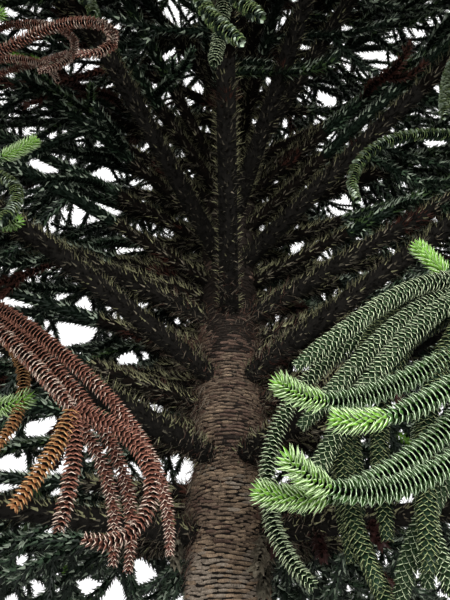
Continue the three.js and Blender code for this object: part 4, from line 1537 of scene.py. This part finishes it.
class TreeColours(bpy.types.PropertyGroup):
    """Colours of the leaves, the twigs and the bark."""
    # The darkest green: a tone of its own for some ropes, and the painted shade on the leaves that look down.
    deep: colour("Deep green", "Leaves of the shaded ropes", (0.013, 0.026, 0.015))
    mid: colour("Middle green", "Leaves of most ropes", (0.072, 0.125, 0.070))
    pale: colour("Pale green", "Leaves of the palest ropes", (0.070, 0.125, 0.042))
    # The rim colours are partly the leaf edges' own paler tone and partly painted sheen along the edges.
    pale_rim: colour("Pale green rim", "Rims of the palest ropes' leaves", (0.300, 0.370, 0.150))
    # A painted highlight: the sky's light on the leaves that look up.
    glint: colour("Glinting green", "The few leaves that catch the sky", (0.500, 0.600, 0.450))
    # The shaded and lit greens are darker and lighter copies of the ribbed green: painted shade on the ropes
    # further in, painted light on the ropes with fresh tips.
    ribbed: colour("Ribbed green", "Blades of the long hanging ropes", (0.022, 0.045, 0.018))
    ribbed_rim: colour("Ribbed green rim", "Rims of the long hanging ropes' leaves", (0.640, 0.740, 0.470))
    shaded: colour("Shaded green", "Blades of the hanging ropes further in", (0.012, 0.028, 0.013))
    shaded_rim: colour("Shaded green rim", "Rims of the ropes that hang further in", (0.350, 0.400, 0.195))
    lit: colour("Lit green", "Blades of the ropes with fresh tips", (0.065, 0.160, 0.035))
    lit_rim: colour("Lit green rim", "Rims of the leaves of the ropes with fresh tips", (0.580, 0.720, 0.470))
    rust: colour("Rust", "Blades of the dead ropes", (0.084, 0.030, 0.020))
    rust_rim: colour("Rust rim", "Rims of the dead ropes' leaves", (0.320, 0.145, 0.100))
    bone: colour("Bone", "Blades toward the ends of the dead ropes", (0.085, 0.030, 0.022))
    bone_rim: colour("Bone rim", "Rims toward the ends of the dead ropes", (0.640, 0.500, 0.400))
    maroon: colour("Maroon", "Leaves of the short dead shoots on the lowest boughs", (0.055, 0.022, 0.019))
    orange: colour("Orange", "Blades of the newly dead ropes", (0.230, 0.085, 0.030))
    orange_rim: colour("Orange rim", "Rims of the newly dead ropes' leaves", (0.460, 0.270, 0.120))
    fresh: colour("Fresh green", "Blades of this year's tips", (0.190, 0.420, 0.040))
    fresh_rim: colour("Fresh green rim", "Rims of this year's leaves", (0.680, 0.860, 0.480))
    dry: colour("Old leaf", "Most leaves on old limbs", (0.010, 0.009, 0.007))
    brown: colour("Brown leaf", "Some leaves on old limbs", (0.130, 0.117, 0.085))
    straw: colour("Straw leaf", "A few leaves on old limbs", (0.300, 0.260, 0.190))
    # A painted highlight for the sky's light on the upper sides of old limbs.
    olive: colour("Olive leaf", "Leaves on the upper sides of old limbs", (0.370, 0.360, 0.200))
    # The twig colours are near black: painted shade between the leaves round the twigs.
    green_twig: colour("Green twig", "Twigs of the green ropes", (0.007, 0.013, 0.008))
    brown_twig: colour("Brown twig", "Twigs of the dead ropes", (0.012, 0.009, 0.007))
    # Near black: the wood's own dark tone and painted shade between the dry leaves; also the tone of the
    # brown fibres.
    bough: colour("Bough", "Wood of the boughs under their leaves", (0.016, 0.014, 0.011))
    # Near black: painted shade in the crevices between the leaf scars.
    trunk_gap: colour("Bark gap", "Wood between the leaf scars", (0.012, 0.009, 0.007))
    tan_scar: colour("Tan scar", "Leaf scars", (0.335, 0.240, 0.162))
    brown_scar: colour("Brown scar", "Leaf scars", (0.205, 0.146, 0.103))
    dark_scar: colour("Dark scar", "Leaf scars up in the crown", (0.032, 0.024, 0.019))
    red_scar: colour("Red scar", "Leaf scars", (0.150, 0.096, 0.072))
    grey_scar: colour("Grey scar", "Leaf scars", (0.330, 0.268, 0.208))
    red_fibre: colour("Red fibre", "Dried fibres on the trunk", (0.120, 0.062, 0.045))
    straw_fibre: colour("Straw fibre", "Dried fibres on the trunk", (0.210, 0.170, 0.125))


class TreeStage(bpy.types.PropertyGroup):
    """The floor, the sky, the lamps and the camera."""
    floor: colour("Floor", "The studio's floor", (0.42, 0.42, 0.41))
    sky_light: bpy.props.FloatProperty(
        name="Sky light", description="How strongly the sky lights the tree", default=1.9, min=0)
    sky_seen: bpy.props.FloatProperty(
        name="Sky seen", description="How bright the sky shows between the ropes", default=1.2, min=0)
    key_power: bpy.props.FloatProperty(
        name="Key lamp", description="Power of the lamp on the right", default=47, min=0, unit="POWER")
    fill_power: bpy.props.FloatProperty(
        name="Fill lamp", description="Power of the lamp on the left", default=30, min=0, unit="POWER")
    field_of_view: bpy.props.FloatProperty(
        name="Field of view", description="The camera's angle over the picture's long side",
        default=math.radians(60), min=0.1, max=3.0, subtype="ANGLE")


class TREE_OT_trunk(bpy.types.Operator):
    """Add the trunk with its leaf scars"""
    bl_idname = "tree.trunk"
    bl_label = "Trunk"

    def execute(self, context):
        make_trunk(context.scene.tree_colours)
        make_scars(context.scene.tree_sizes, context.scene.tree_colours)
        return {"FINISHED"}


class TREE_OT_fibres(bpy.types.Operator):
    """Add the dried fibres round the roots of the limbs"""
    bl_idname = "tree.fibres"
    bl_label = "Fibres"

    def execute(self, context):
        make_fibres(grow_crown(), context.scene.tree_sizes, context.scene.tree_colours)
        return {"FINISHED"}


class TREE_OT_boughs(bpy.types.Operator):
    """Add the wood of the main boughs"""
    bl_idname = "tree.boughs"
    bl_label = "Boughs"

    def execute(self, context):
        make_boughs(grow_crown(), context.scene.tree_colours)
        return {"FINISHED"}


class TREE_OT_twigs(bpy.types.Operator):
    """Add the limbs and twigs inside the foliage"""
    bl_idname = "tree.twigs"
    bl_label = "Twigs"

    def execute(self, context):
        make_twigs(grow_crown(), context.scene.tree_colours)
        return {"FINISHED"}


class TREE_OT_leaves(bpy.types.Operator):
    """Add the leaves on every rope, twig and bough"""
    bl_idname = "tree.leaves"
    bl_label = "Leaves"

    def execute(self, context):
        make_leaves(grow_crown(), context.scene.tree_sizes, context.scene.tree_colours)
        return {"FINISHED"}


class TREE_OT_stage(bpy.types.Operator):
    """Add the floor, the sky, the lamps and the camera"""
    bl_idname = "tree.stage"
    bl_label = "Stage"

    def execute(self, context):
        make_stage(context.scene.tree_stage)
        return {"FINISHED"}


GROUPS = {"tree_sizes": TreeSizes, "tree_colours": TreeColours, "tree_stage": TreeStage}
OPERATORS = (TREE_OT_trunk, TREE_OT_fibres, TREE_OT_boughs, TREE_OT_twigs, TREE_OT_leaves, TREE_OT_stage)


class TREE_PT_panel(bpy.types.Panel):
    """The tree's pieces, in the order in which they are added"""
    bl_label = "Monkey Puzzle Tree"
    bl_idname = "TREE_PT_panel"
    bl_space_type = "VIEW_3D"
    bl_region_type = "UI"
    bl_category = "Tree"

    def draw(self, context):
        for name, group in GROUPS.items():
            box = self.layout.box()
            for field in group.__annotations__:
                box.prop(getattr(context.scene, name), field)
        for operator in OPERATORS:
            self.layout.operator(operator.bl_idname)


def register():
    for item in (*GROUPS.values(), *OPERATORS, TREE_PT_panel):
        bpy.utils.register_class(item)
    for name, group in GROUPS.items():
        setattr(bpy.types.Scene, name, bpy.props.PointerProperty(type=group))


def unregister():
    for name in GROUPS:
        delattr(bpy.types.Scene, name)
    for item in (TREE_PT_panel, *reversed(OPERATORS), *reversed(GROUPS.values())):
        bpy.utils.unregister_class(item)


def main():
    """Add every piece and the stage."""
    register()
    bpy.ops.tree.trunk()
    bpy.ops.tree.fibres()
    bpy.ops.tree.boughs()
    bpy.ops.tree.twigs()
    bpy.ops.tree.leaves()
    bpy.ops.tree.stage()


if __name__ == "__main__":
    main()
